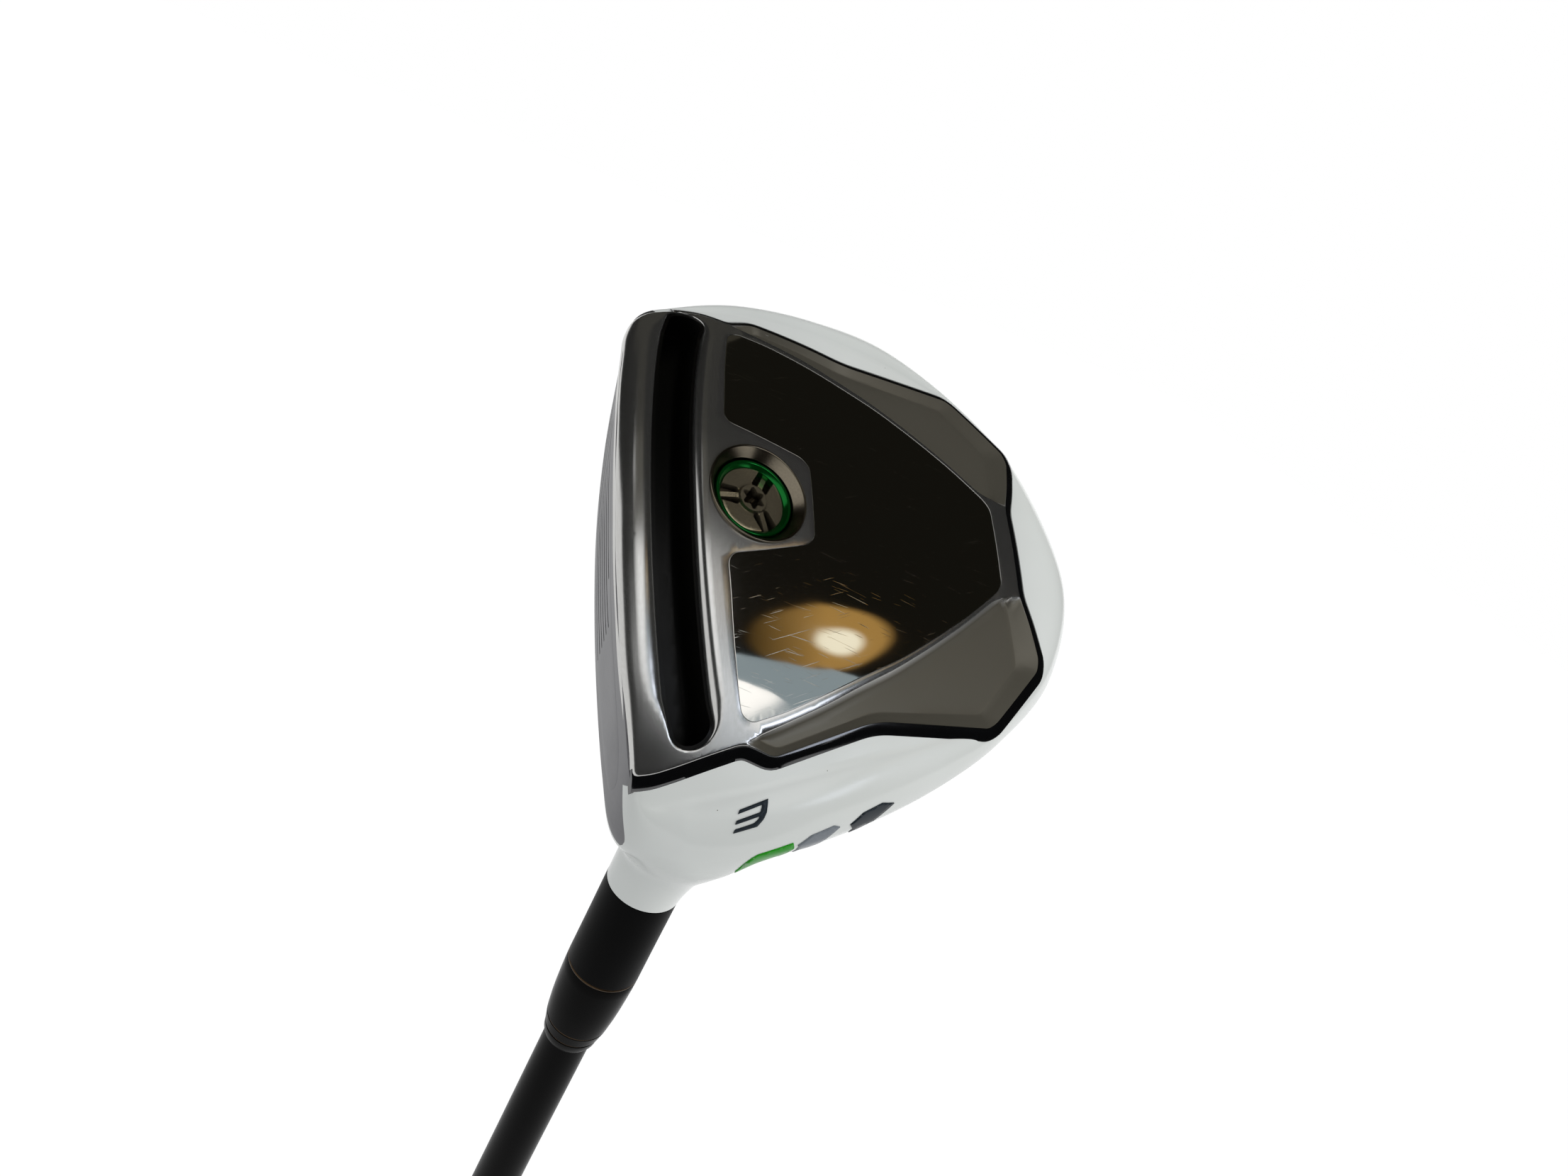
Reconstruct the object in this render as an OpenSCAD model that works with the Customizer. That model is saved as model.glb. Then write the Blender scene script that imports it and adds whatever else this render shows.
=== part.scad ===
// Left-handed fairway wood: hollow steel head, bonded shaft and slip-on grip.
// Millimetres. The shaft axis is Z with the butt of the grip at the origin and the head at the top.
// The back of the head looks to +Y and the striking face to -Y.

/* [Club] */
// Length from the butt of the grip to the ground line at the heel
club_length = 1092; // [1040:1:1130]
// Angle between the shaft axis and the ground
lie = 58; // [55:0.5:62]
// Distance from the ground line to the end of the white neck, along the shaft
neck_reach = 47; // [44:0.5:52]

/* [Head] */
// Heel to toe width of the head body
head_w = 113; // [100:1:120]
// Front to back depth of the head body
head_d = 96; // [84:1:104]
// Height from the sole to the top of the crown
head_h = 40; // [36:0.5:44]
// Loft of the striking face
loft = 16; // [13:0.5:19]
// Wall thickness of the skirt and the face
wall = 1.5; // [1.2:0.1:2.4]
// Wall thickness of the sole under the plate
sole_wall = 2; // [1.6:0.1:3]
// Thickness of the crown shell at its centre
crown_t = 0.9; // [0.8:0.1:1.6]
// Depth of the score lines in the face
groove_d = 0.4; // [0.2:0.05:0.6]
// Number of score lines
groove_n = 7; // [5:1:9]

/* [Sole] */
// Thickness of the sole plate
plate_t = 1.8; // [1.6:0.1:2.4]
// How far the sole plate stands out of the white body
plate_proud = 0.8; // [0.4:0.1:1.2]
// Width of the black bezel around the sole plate
bezel_w = 1.7; // [1:0.1:2.2]
// Thickness of the polished inlay
inlay_t = 0.7; // [0.5:0.1:1]
// Depth of the two wing trays
tray_d = 1.0; // [0.6:0.1:1.1]
// Width of the sole slot
slot_w = 6.9; // [5.5:0.1:7.4]
// Depth of the slot trough
slot_depth = 8; // [6:0.5:10]
// Wall of the slot trough
slot_wall = 0.9; // [0.6:0.1:1.2]

/* [Weight] */
// Outer radius of the threaded port boss
port_r = 8.9; // [8.6:0.1:9.2]
// Radius of the counterbore that takes the weight
port_bore_r = 7.3; // [7.1:0.1:7.6]
// Depth of the counterbore
port_bore_d = 5; // [4.5:0.1:6]
// Height of the whole boss
port_h = 11.5; // [10.5:0.5:13]
// Outer radius of the green ring
ring_r = 7; // [6.7:0.05:7]
// Radius of the screw head
screw_head_r = 5.8; // [5:0.1:6]
// Radius of the screw shank
shank_r = 2.95; // [2.7:0.05:3]
// Length of the screw shank below the head
shank_l = 6.6; // [6:0.1:7]
// Radius of the six-lobe recess at its lobes
recess_r = 1.9; // [1.5:0.1:2.3]

/* [Hosel] */
// Radius of the white neck at its end
neck_r = 6.3; // [5.8:0.1:6.6]
// Length of the black collar
collar_l = 17.5; // [12:0.5:20]
// Radius of the collar where it meets the ferrule
collar_r = 6.4; // [6:0.05:6.7]
// Length of the ferrule
ferrule_l = 18; // [14:0.5:22]
// Width of the copper trim ring
trim_w = 0.5; // [0.3:0.1:1]
// Depth of the shaft bore below the neck end
bore_d = 24; // [20:0.5:25]

/* [Shaft] */
// Shaft radius at the tip
tip_r = 4.25; // [4.2:0.05:4.5]
// Shaft radius at the butt
butt_r = 7.6; // [7:0.1:8]
// Length of the parallel tip section
tip_l = 90; // [60:5:120]
// Wall thickness of the shaft tube
shaft_wall = 1.2; // [0.9:0.1:1.6]

/* [Grip] */
// Length of the rubber sleeve
grip_l = 267; // [240:1:290]
// Radius of the sleeve beside the cap
grip_r = 12.8; // [12:0.1:14]
// Radius of the sleeve at its mouth
mouth_r = 8.9; // [8.6:0.1:10]
// Radius of the cap
cap_r = 13.6; // [12.6:0.1:15]
// Thickness of the cap
cap_t = 6; // [4:0.5:8]
// Radius of the vent hole through the cap
vent_r = 1.6; // [1.2:0.1:2.2]
// Thickness of the grip tape
tape_t = 0.3; // [0.2:0.05:0.5]

/* [Hidden] */
$fn = 96;
// Scale of the plan and height tables against their drawn size
sx = head_w / 113;
sy = head_d / 96;
sz = head_h / 40;
// Hosel end point in head coordinates: x to the toe, y to the back, z up
neck_x = -56.2 * sx;
neck_y = 17.1 * sy;
neck_z = 39.8 * sz;
neck_at = club_length - neck_reach;
fit_gap = 0.05;
bore_r = tip_r + fit_gap;
// Stations round the head: sole edge x, y, then equator x, y, z, then roundness
stations = [
  [0, -3.0, 0, 5.5, 35.0, 0],
  [16, -2.1, 16, 6.0, 34.4, 0],
  [30, 0.6, 30, 6.7, 31.5, 0],
  [39, 4.8, 40.5, 8, 26.6, 0.15],
  [43.6, 11.6, 47.8, 13.2, 24.2, 0.8],
  [46.5, 24, 54, 25, 23.5, 1],
  [44.5, 40, 53.8, 40, 22.0, 1],
  [40.5, 55, 50.8, 55.4, 19.0, 1],
  [33, 67.5, 39.6, 69.2, 15.5, 1],
  [18, 76, 24.2, 83.4, 12.5, 1],
  [0, 76, 0, 92.8, 11.0, 1],
  [-18, 76, -21.4, 85.2, 12.0, 1],
  [-31.5, 68, -35.2, 71.3, 14.5, 1],
  [-37, 55, -44.1, 57.1, 18.0, 1],
  [-42, 40, -51.5, 41, 21.5, 1],
  [-46.5, 25, -56, 26, 25.5, 1],
  [-49, 14, -57, 16, 28.5, 1],
  [-48, 7, -53, 8.2, 29.0, 0.5],
  [-38.5, 2.9, -40, 6.9, 31.4, 0],
  [-20, -1.6, -20, 5.6, 34.0, 0]
];
around = 80;
mid_x = 0;
mid_y = 38 * sy;
drawn_loft = 16;
// Sole plate outline: the wing half used on both sides, then the front edge at the toe and at the heel
plate_wing = [
  [40.2, 21], [41.8, 25.8], [35.2, 42.6], [33.9, 65.2], [32.9, 66.8], [22.8, 75.9], [20.4, 76.3],
  [14.3, 74.7], [9, 72.9]
];
plate_toe = [[0, -3.2], [16, -2.3], [30, 0.3], [35.5, 2.4], [38.6, 5], [40.6, 8.4], [42, 12.4], [42.2, 16.4]];
plate_heel = [[-16, -2.3], [-30, 0.3], [-41, 3.9], [-45.3, 5.2], [-45, 8], [-44, 11], [-42.2, 15.6]];
// Polished inlay outline, toe half, from the notch round to the back
inlay_half = [
  [6.8, 30.2], [8.3, 28.8], [10.6, 21.5], [12.2, 15.6], [13.6, 14.8], [25, 16.6], [33, 18.6],
  [36.2, 19.6], [37.3, 21.4], [35.2, 27], [31.6, 34], [28, 40.5], [24.6, 47], [20, 54],
  [15.2, 60.8], [9.6, 67.6], [7.8, 68.9]
];
// Wing tray outline, toe side
tray_half = [
  [9.8, 70.5], [14.8, 72.3], [21.4, 73.4], [31.6, 64.6], [33.2, 42.4], [39.6, 26.6], [39.0, 22.6],
  [37.2, 26.4], [33.5, 33.6], [30, 39.4], [26.4, 45.9], [22, 52.6], [17, 59.6], [11, 67.2]
];
// Face insert outline in the plane seen from the front
face_outline = [
  [-40, 19], [-30, 15.5], [-15, 11.8], [0, 10.6], [15, 11.8], [30, 15.5], [37, 20], [38, 25],
  [30, 28.6], [16, 31.4], [0, 32], [-20, 31], [-40, 28.6], [-45, 27], [-45, 23]
];
port_x = -0.8 * sx;
port_y = 20.2 * sy;
port_z = 1.3;
floor_z = port_z + port_bore_d;
washer_t = 0.4;
lip_t = 0.4;
weight_top = floor_z - washer_t;
head_gap = 0.03;
disc_base = weight_top - lip_t - head_gap;
disc_t = 2.1;
ring_front = disc_base - disc_t - 0.2;
clip_r = 4.2;
clip_t = 0.3;
thread_r = shank_r + fit_gap;

// Catmull-Rom value between four samples
function blend(a, b, c, d, t) =
  0.5 * (2 * b + (c - a) * t + (2 * a - 5 * b + 4 * c - d) * t * t + (3 * b - a - 3 * c + d) * t * t * t);
function station(u) =
  let (n = len(stations), i = floor(u), t = u - i)
  blend(stations[(i + n - 1) % n], stations[i % n], stations[(i + 1) % n], stations[(i + 2) % n], t);
// Height of the sole surface over a plan point
function sole_z(x, y) =
  let (ax = x / sx, ay = y / sy)
  2.2 - 0.0325 * ay + 2.6 * exp(-(ay + 3.2) / 4) + max(0.0037, 0.0075 - 0.0001 * ay) * ax * ax;
body_step = plate_proud;
// Point of the outer skin: v runs from the sole edge (0) to the equator (1)
function skin(s, v, inset, lift) =
  let (
    w = min(1, max(0, s[5])),
    a0 = [s[0] * sx, s[1] * sy],
    e0 = [s[2] * sx, s[3] * sy + (1 - w) * (s[4] * sz - 8) * (tan(loft) - tan(drawn_loft))],
    m = [mid_x, mid_y],
    a = m + (a0 - m) * (1 - inset / norm(a0 - m)),
    e = m + (e0 - m) * (1 - inset / norm(e0 - m)),
    az = sole_z(a[0], a[1]) + body_step + lift,
    ez = s[4] * sz,
    round_xy = sin(90 * v),
    round_z = 1 - cos(90 * v),
    fx = v + (round_xy - v) * w,
    fz = v + (round_z - v) * w
  )
  [a[0] + (e[0] - a[0]) * fx, a[1] + (e[1] - a[1]) * fx, az + (ez - az) * fz];
function skin_ring(v, inset, lift) =
  [for (k = [0:around - 1]) skin(station(k * len(stations) / around), v, inset, lift)];
// Ring of the sole surface drawn in to a share of the sole edge
function sole_ring(share, inset, lift) =
  [for (k = [0:around - 1])
    let (
      p = skin(station(k * len(stations) / around), 0, inset, lift),
      x = mid_x + (p[0] - mid_x) * share,
      y = mid_y + (p[1] - mid_y) * share
    ) [x, y, sole_z(x, y) + body_step + lift]];
// Ring of the crown drawn in to a share of the equator
function crown_ring(share, inset, drop) =
  [for (k = [0:around - 1])
    let (
      p = skin(station(k * len(stations) / around), 1, inset, 0),
      x = mid_x + (p[0] - mid_x) * share,
      y = mid_y + (p[1] - mid_y) * share,
      rise = 1 - pow(share, 2.4)
    ) [x, y, p[2] + (head_h - drop - p[2]) * rise]];
sole_shares = [0.2, 0.4, 0.6, 0.8];
skin_steps = [0, 0.17, 0.33, 0.5, 0.67, 0.84, 1];
crown_shares = [0.15, 0.3, 0.45, 0.6, 0.72, 0.83, 0.92, 0.97];
function flip(v) = [for (i = [len(v) - 1:-1:0]) v[i]];
function flat_list(v) = [for (a = v) for (b = a) b];

// Closed surface through a stack of rings with a point at each end
module stack(first, rings, last, turned) {
  n = around;
  r = len(rings);
  points = concat([first], flat_list(rings), [last]);
  end = len(points) - 1;
  bottom = [for (i = [0:n - 1]) [0, 1 + i, 1 + (i + 1) % n]];
  sides = [for (j = [0:r - 2]) for (i = [0:n - 1]) each [
    [1 + j * n + i, 1 + (j + 1) * n + i, 1 + (j + 1) * n + (i + 1) % n],
    [1 + j * n + i, 1 + (j + 1) * n + (i + 1) % n, 1 + j * n + (i + 1) % n]
  ]];
  top = [for (i = [0:n - 1]) [1 + (r - 1) * n + i, end, 1 + (r - 1) * n + (i + 1) % n]];
  all = concat(bottom, sides, top);
  polyhedron(points, turned ? [for (f = all) [f[0], f[2], f[1]]] : all, convexity = 8);
}

// Open bowl: sole, skirt and face wall up to the equator
module bowl() {
  outer = concat(
    [for (q = sole_shares) sole_ring(q, 0, 0)],
    [for (v = skin_steps) skin_ring(v, 0, 0)]
  );
  inner = concat(
    [for (v = flip(skin_steps)) skin_ring(v, wall, sole_wall)],
    [for (q = flip(sole_shares)) sole_ring(q, wall, sole_wall)]
  );
  low = [mid_x, mid_y, sole_z(mid_x, mid_y) + body_step];
  stack(low, concat(outer, inner), low + [0, 0, sole_wall], false);
}

// Crown shell from its top out to the equator and back underneath
module crown_shell() {
  outer = concat([for (q = crown_shares) crown_ring(q, 0, 0)], [crown_ring(1, 0, 0)]);
  inner = concat([crown_ring(1, wall, 0)], [for (q = flip(crown_shares)) crown_ring(q, wall, crown_t)]);
  stack([mid_x, mid_y, head_h], concat(outer, inner), [mid_x, mid_y, head_h - crown_t], true);
}

// Whole outer form as one solid
module outer_form() {
  low = [mid_x, mid_y, sole_z(mid_x, mid_y) + body_step];
  rings = concat(
    [for (q = sole_shares) sole_ring(q, 0, 0)],
    [for (v = skin_steps) skin_ring(v, 0, 0)],
    [for (q = flip(crown_shares)) crown_ring(q, 0, 0)]
  );
  stack(low, rings, [mid_x, mid_y, head_h], false);
}

// Layer between two offsets of the sole surface
module sole_layer(from, to) {
  nx = 26;
  ny = 20;
  x0 = -63.17 * sx;
  x1 = 62.41 * sx;
  y0 = -9.37 * sy;
  y1 = 84.71 * sy;
  w = nx + 1;
  count = w * (ny + 1);
  plan = [for (j = [0:ny]) for (i = [0:nx]) [x0 + (x1 - x0) * i / nx, y0 + (y1 - y0) * j / ny]];
  points = concat(
    [for (p = plan) [p[0], p[1], sole_z(p[0], p[1]) + from]],
    [for (p = plan) [p[0], p[1], sole_z(p[0], p[1]) + to]]
  );
  cells = [for (j = [0:ny - 1]) for (i = [0:nx - 1]) j * w + i];
  low = [for (c = cells) each [[c, c + 1, c + w + 1], [c, c + w + 1, c + w]]];
  high = [for (c = cells) each [
    [count + c, count + c + w + 1, count + c + 1],
    [count + c, count + c + w, count + c + w + 1]
  ]];
  rim = concat(
    [for (i = [0:nx - 1]) i],
    [for (j = [0:ny - 1]) nx + j * w],
    [for (i = [nx:-1:1]) ny * w + i],
    [for (j = [ny:-1:1]) j * w]
  );
  m = len(rim);
  sides = [for (i = [0:m - 1]) each [
    [rim[i], count + rim[i], count + rim[(i + 1) % m]],
    [rim[i], count + rim[(i + 1) % m], rim[(i + 1) % m]]
  ]];
  polyhedron(points, concat(low, high, sides), convexity = 8);
}

function mirrored(half) =
  concat([for (p = half) [p[0] * sx, p[1] * sy]],
    [for (p = flip(half)) if (p[0] > 0.01) [-p[0] * sx, p[1] * sy]]);
module plate_plan() {
  toe = concat(plate_toe, plate_wing);
  heel = concat(plate_heel, [for (p = plate_wing) [-p[0], p[1]]]);
  polygon([for (p = concat(toe, flip(heel))) [p[0] * sx, p[1] * sy]]);
}
module bezel_plan() {
  difference() {
    offset(delta = bezel_w) plate_plan();
    plate_plan();
    translate([-80, -30]) square([160, 30 + 5.4 * sy]);
    translate([0, -30]) square([80, 30 + 11 * sy]);
  }
}
// Strip in front of the leading edge, so that the plate meets the face cleanly
module lip_plan() {
  intersection() {
    translate([0, -2.5]) plate_plan();
    translate([-40 * sx, -20]) square([76 * sx, 40]);
  }
}
module inlay_plan() {
  polygon(mirrored(inlay_half));
}
module tray_plan(side) {
  polygon([for (p = tray_half) [side * p[0] * sx, p[1] * sy]]);
}
// Crescent slot with round ends
module slot_plan() {
  half = 38 * sx;
  bow = 0.0046 * sy / (sx * sx);
  centre = 5.75 * sy;
  n = 24;
  span = [for (i = [0:n]) -half + 2 * half * i / n];
  polygon(concat(
    [for (x = span) [x, centre - slot_w / 2 + bow * x * x]],
    [for (x = flip(span)) [x, centre + slot_w / 2 + bow * x * x]]
  ));
  for (side = [-1, 1])
    translate([side * half, centre + bow * half * half]) circle(r = slot_w / 2, $fn = 32);
}
module prism(from, to) {
  translate([0, 0, from]) linear_extrude(to - from) children();
}
module in_layer(from, to) {
  intersection() {
    sole_layer(from, to);
    prism(-20, 40) children();
  }
}

// Places head coordinates on the shaft axis
module on_shaft() {
  translate([0, 0, neck_at]) rotate([0, -(90 + lie), 0]) translate([-neck_x, -neck_y, -neck_z]) children();
}
// Places a piece along the shaft axis in head coordinates, z from the neck end toward the grip
module on_neck() {
  translate([neck_x, neck_y, neck_z]) rotate([0, -(90 - lie), 0]) children();
}
// Places a turned piece along the club axis, z from the neck end toward the grip
module on_club() {
  translate([0, 0, neck_at]) rotate([180, 0, 0]) children();
}

// Flared neck and the hosel tube inside the head, without the bore
module neck_form(deep) {
  on_neck() {
    rotate_extrude($fn = 56)
      polygon([
        [0, -15], [neck_r + 4.6, -15], [neck_r + 3.2, -12], [neck_r + 2.1, -9], [neck_r + 1.3, -6.5],
        [neck_r + 0.6, -4], [neck_r + 0.2, -2], [neck_r, 0], [0, 0]
      ]);
    translate([0, 0, -deep]) cylinder(r = neck_r, h = deep - 10, $fn = 56);
  }
}
module hosel_bore() {
  on_neck() translate([0, 0, -bore_d]) cylinder(r = bore_r / cos(180 / 64), h = bore_d + 5, $fn = 64);
}
module face_prism() {
  translate([0, 14 * sy, 0]) rotate([90, 0, 0]) linear_extrude(26 * sy)
    polygon([for (p = face_outline) [p[0] * sx, p[1] * sz]]);
}
module port_hole() {
  translate([port_x, port_y, -10]) cylinder(r = port_r / cos(180 / 64), h = 40, $fn = 64);
}

module head_body() {
  color("#d7dad6") on_shaft() resize([0, 0, 0]) difference() {
    union() {
      bowl();
      intersection() {
        neck_form(bore_d + 3);
        union() {
          outer_form();
          on_neck() translate([0, 0, -15]) cylinder(r = 20, h = 20, $fn = 24);
        }
      }
    }
    in_layer(-9, plate_t) {
      plate_plan();
      bezel_plan();
      lip_plan();
    }
    in_layer(-9, 9) slot_plan();
    face_prism();
    port_hole();
    hosel_bore();
  }
}

module crown() {
  color("#d7dad6") on_shaft() resize([0, 0, 0]) difference() {
    crown_shell();
    neck_form(bore_d + 3);
    hosel_bore();
  }
}

module face_plate() {
  pitch = 18 * sz / groove_n;
  color("#77797a") on_shaft() resize([0, 0, 0]) difference() {
    intersection() {
      bowl();
      face_prism();
    }
    difference() {
      for (i = [0:groove_n - 1])
        translate([-22 * sx, -12, 12.6 * sz + pitch * (i + 0.5)]) cube([44 * sx, 26, 0.6]);
      translate([0, groove_d, 0]) outer_form();
    }
  }
}

module sole_plate() {
  color("#a9aaa8") on_shaft() resize([0, 0, 0]) difference() {
    in_layer(0, plate_t) plate_plan();
    in_layer(-5, inlay_t) inlay_plan();
    in_layer(-5, tray_d) {
      tray_plan(1);
      tray_plan(-1);
    }
    in_layer(-5, 9) slot_plan();
    port_hole();
  }
}

module sole_bezel() {
  color("#0c0c0d") on_shaft() resize([0, 0, 0]) in_layer(0.3, plate_t) bezel_plan();
}

module polished_inlay() {
  color("#6f6f70") on_shaft() resize([0, 0, 0]) difference() {
    in_layer(0.05, inlay_t) inlay_plan();
    port_hole();
  }
}

module slot_trough() {
  color("#141415") on_shaft() resize([0, 0, 0]) difference() {
    in_layer(0.5, slot_depth) slot_plan();
    in_layer(-5, slot_depth - slot_wall) offset(delta = -slot_wall) slot_plan();
  }
}

module weight_port() {
  color("#8f9092") on_shaft() translate([port_x, port_y, 0]) difference() {
    translate([0, 0, port_z]) cylinder(r = port_r, h = port_h);
    translate([0, 0, port_z - 1]) cylinder(r = port_bore_r, h = port_bore_d + 1);
    cylinder(r = thread_r, h = port_z + port_h + 5);
  }
}

module weight_ring() {
  color("#148a35") on_shaft() translate([port_x, port_y, 0]) difference() {
    translate([0, 0, ring_front]) cylinder(r = ring_r, h = weight_top - ring_front);
    translate([0, 0, ring_front - 1]) cylinder(r = screw_head_r + fit_gap, h = weight_top - lip_t - ring_front + 1);
    cylinder(r = shank_r + 0.15, h = 20);
  }
}

module weight_washer() {
  color("#2a2a2b") on_shaft() translate([port_x, port_y, weight_top]) difference() {
    cylinder(r = ring_r - 0.1, h = washer_t);
    translate([0, 0, -1]) cylinder(r = clip_r + 0.3, h = washer_t + 2);
  }
}

module weight_clip() {
  color("#9c8a4c") on_shaft() translate([port_x, port_y, weight_top + head_gap]) difference() {
    cylinder(r = clip_r, h = clip_t);
    translate([0, 0, -1]) cylinder(r = shank_r - 0.35, h = clip_t + 2);
  }
}

module weight_screw() {
  color("#c3c4c6") on_shaft() translate([port_x, port_y, 0]) difference() {
    union() {
      translate([0, 0, disc_base - disc_t]) cylinder(r = screw_head_r, h = disc_t);
      translate([0, 0, disc_base - 0.1]) cylinder(r = shank_r, h = shank_l + 0.1);
    }
    // Groove for the retaining clip
    translate([0, 0, weight_top + head_gap]) difference() {
      cylinder(r = shank_r + 1, h = clip_t);
      translate([0, 0, -1]) cylinder(r = shank_r - 0.35, h = clip_t + 2);
    }
    // Six-lobe drive recess
    translate([0, 0, disc_base - disc_t - 1]) {
      cylinder(r = recess_r * 0.8, h = 2.6);
      for (a = [0:60:300])
        rotate([0, 0, a]) translate([recess_r * 0.8, 0, 0]) cylinder(r = recess_r * 0.2, h = 2.6, $fn = 24);
    }
    // Windows between the four pairs of spokes
    for (a = [0:90:270])
      rotate([0, 0, a + 45]) translate([screw_head_r * 0.66, 0, disc_base - disc_t - 1])
        cylinder(r = screw_head_r * 0.2, h = 1.7, $fn = 24);
  }
}

module hosel_collar() {
  color("#101011") on_club() difference() {
    cylinder(r1 = neck_r, r2 = collar_r, h = collar_l);
    translate([0, 0, -1]) cylinder(r = bore_r, h = collar_l + 2);
  }
}

module trim_ring() {
  color("#6b4a33") on_club() translate([0, 0, collar_l]) difference() {
    cylinder(r = collar_r + 0.02, h = trim_w);
    translate([0, 0, -1]) cylinder(r = bore_r, h = trim_w + 2);
  }
}

module ferrule() {
  color("#0d0d0e") on_club() translate([0, 0, collar_l + trim_w]) rotate_extrude()
    polygon([
      [bore_r, 0], [collar_r, 0], [collar_r - 0.1, ferrule_l * 0.25], [collar_r - 0.4, ferrule_l * 0.55],
      [collar_r - 0.75, ferrule_l * 0.72], [collar_r - 0.85, ferrule_l * 0.735],
      [collar_r - 0.9, ferrule_l * 0.76], [collar_r - 1.3, ferrule_l * 0.88],
      [collar_r - 1.45, ferrule_l * 0.9], [bore_r + 0.35, ferrule_l], [bore_r, ferrule_l]
    ]);
}

// Shaft radius at a height above the butt of the grip
tip_end = neck_at + bore_d;
taper_end = tip_end - tip_l;
function shaft_r(z) =
  z > taper_end ? tip_r : tip_r + (butt_r - tip_r) * (taper_end - z) / (taper_end - cap_t);

module shaft() {
  color("#121213") rotate_extrude()
    polygon([
      [butt_r - shaft_wall, cap_t], [butt_r, cap_t], [tip_r, taper_end], [tip_r, tip_end],
      [tip_r - shaft_wall, tip_end], [tip_r - shaft_wall, taper_end]
    ]);
}

module tip_plug() {
  color("#b98a4a") translate([0, 0, tip_end - 12]) cylinder(r = tip_r - shaft_wall, h = 12);
}

module grip_tape() {
  z1 = cap_t + grip_l - 6;
  color("#cfc9b8") rotate_extrude()
    polygon([
      [shaft_r(cap_t), cap_t], [shaft_r(cap_t) + tape_t, cap_t],
      [shaft_r(z1) + tape_t, z1], [shaft_r(z1), z1]
    ]);
}

module grip_sleeve() {
  z1 = cap_t + grip_l - 6;
  z2 = cap_t + grip_l;
  color("#161617") rotate_extrude()
    polygon([
      [shaft_r(cap_t) + tape_t, cap_t], [grip_r, cap_t], [grip_r - 0.6, cap_t + 40],
      [mouth_r + 0.5, z1 - 10], [mouth_r, z2 - 1], [mouth_r - 0.6, z2], [shaft_r(z2), z2],
      [shaft_r(z1), z1], [shaft_r(z1) + tape_t, z1]
    ]);
}

module grip_cap() {
  color("#1a1a1b") difference() {
    rotate_extrude()
      polygon([
        [0, 0], [cap_r - 1.5, 0], [cap_r - 0.4, 0.6], [cap_r, 1.8], [cap_r, cap_t - 1.2],
        [grip_r, cap_t], [0, cap_t]
      ]);
    translate([0, 0, -1]) cylinder(r = vent_r, h = cap_t + 2);
  }
}

head_body();
crown();
face_plate();
sole_plate();
sole_bezel();
polished_inlay();
slot_trough();
weight_port();
weight_ring();
weight_washer();
weight_clip();
weight_screw();
hosel_collar();
trim_ring();
ferrule();
shaft();
tip_plug();
grip_tape();
grip_sleeve();
grip_cap();
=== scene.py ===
"""Fairway wood: the finished looks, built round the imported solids."""

import math

import bpy
import numpy as np
from mathutils import Matrix, Vector
from mathutils.bvhtree import BVHTree
from mathutils.geometry import delaunay_2d_cdt


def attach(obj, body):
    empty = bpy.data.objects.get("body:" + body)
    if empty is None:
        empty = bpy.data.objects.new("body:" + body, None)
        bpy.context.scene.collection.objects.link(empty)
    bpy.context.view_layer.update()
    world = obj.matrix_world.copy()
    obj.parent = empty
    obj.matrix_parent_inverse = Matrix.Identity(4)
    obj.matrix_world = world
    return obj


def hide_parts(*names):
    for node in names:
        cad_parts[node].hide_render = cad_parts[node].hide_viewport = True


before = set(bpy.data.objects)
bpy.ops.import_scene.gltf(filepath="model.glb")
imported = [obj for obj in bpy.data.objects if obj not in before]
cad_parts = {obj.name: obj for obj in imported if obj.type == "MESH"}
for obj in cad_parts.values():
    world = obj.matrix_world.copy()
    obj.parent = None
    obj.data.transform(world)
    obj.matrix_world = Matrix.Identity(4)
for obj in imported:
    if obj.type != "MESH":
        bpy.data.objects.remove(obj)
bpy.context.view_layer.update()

bl_info = {
    "name": "Fairway Wood",
    "version": (1, 0, 0),
    "blender": (4, 5, 0),
    "location": "View3D > Sidebar > Fairway Wood",
    "description": "Models a left-handed fairway wood piece by piece over its packed solids",
    "category": "Object",
}

# Head coordinates in millimetres: x to the toe, y to the back, z up
LIE = math.radians(58.0)
NECK_END = np.array((-56.2, 17.1, 39.8))
NECK_AT = 1045.0
ROW_X = np.array((-math.sin(LIE), 0.0, -math.cos(LIE)))
ROW_Y = np.array((0.0, 1.0, 0.0))
ROW_Z = np.array((math.cos(LIE), 0.0, -math.sin(LIE)))
TO_GRIP = -ROW_Z
# Turn about Y that lays Object coordinates along the head's own axes
HEAD_TURN = math.pi / 2 + LIE
CENTRE = np.array((0.0, 38.0))
HEAD_TOP = 40.0
NECK_RADIUS = 6.3
BORE_RADIUS = 4.3
BORE_DEPTH = 24.0
COLLAR_LAP = 1.1
GRIP_CAP = 6.0

# Sole surface: its height, rocker, front roll and camber, and the plate that stands out of it
SOLE_BASE = 2.2
SOLE_FRONT = -3.2
ROCKER = 0.0325
ROLL_RISE = 2.6
ROLL_RUN = 4.0
CAMBER_BACK = 0.0037
CAMBER_GAIN = 0.0038
CAMBER_FADE = 0.0001
CAMBER_EASE = 0.0009
PLATE_PROUD = 0.8
PLATE_BACK = 1.75
PLATE_STEP = 0.55

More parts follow.
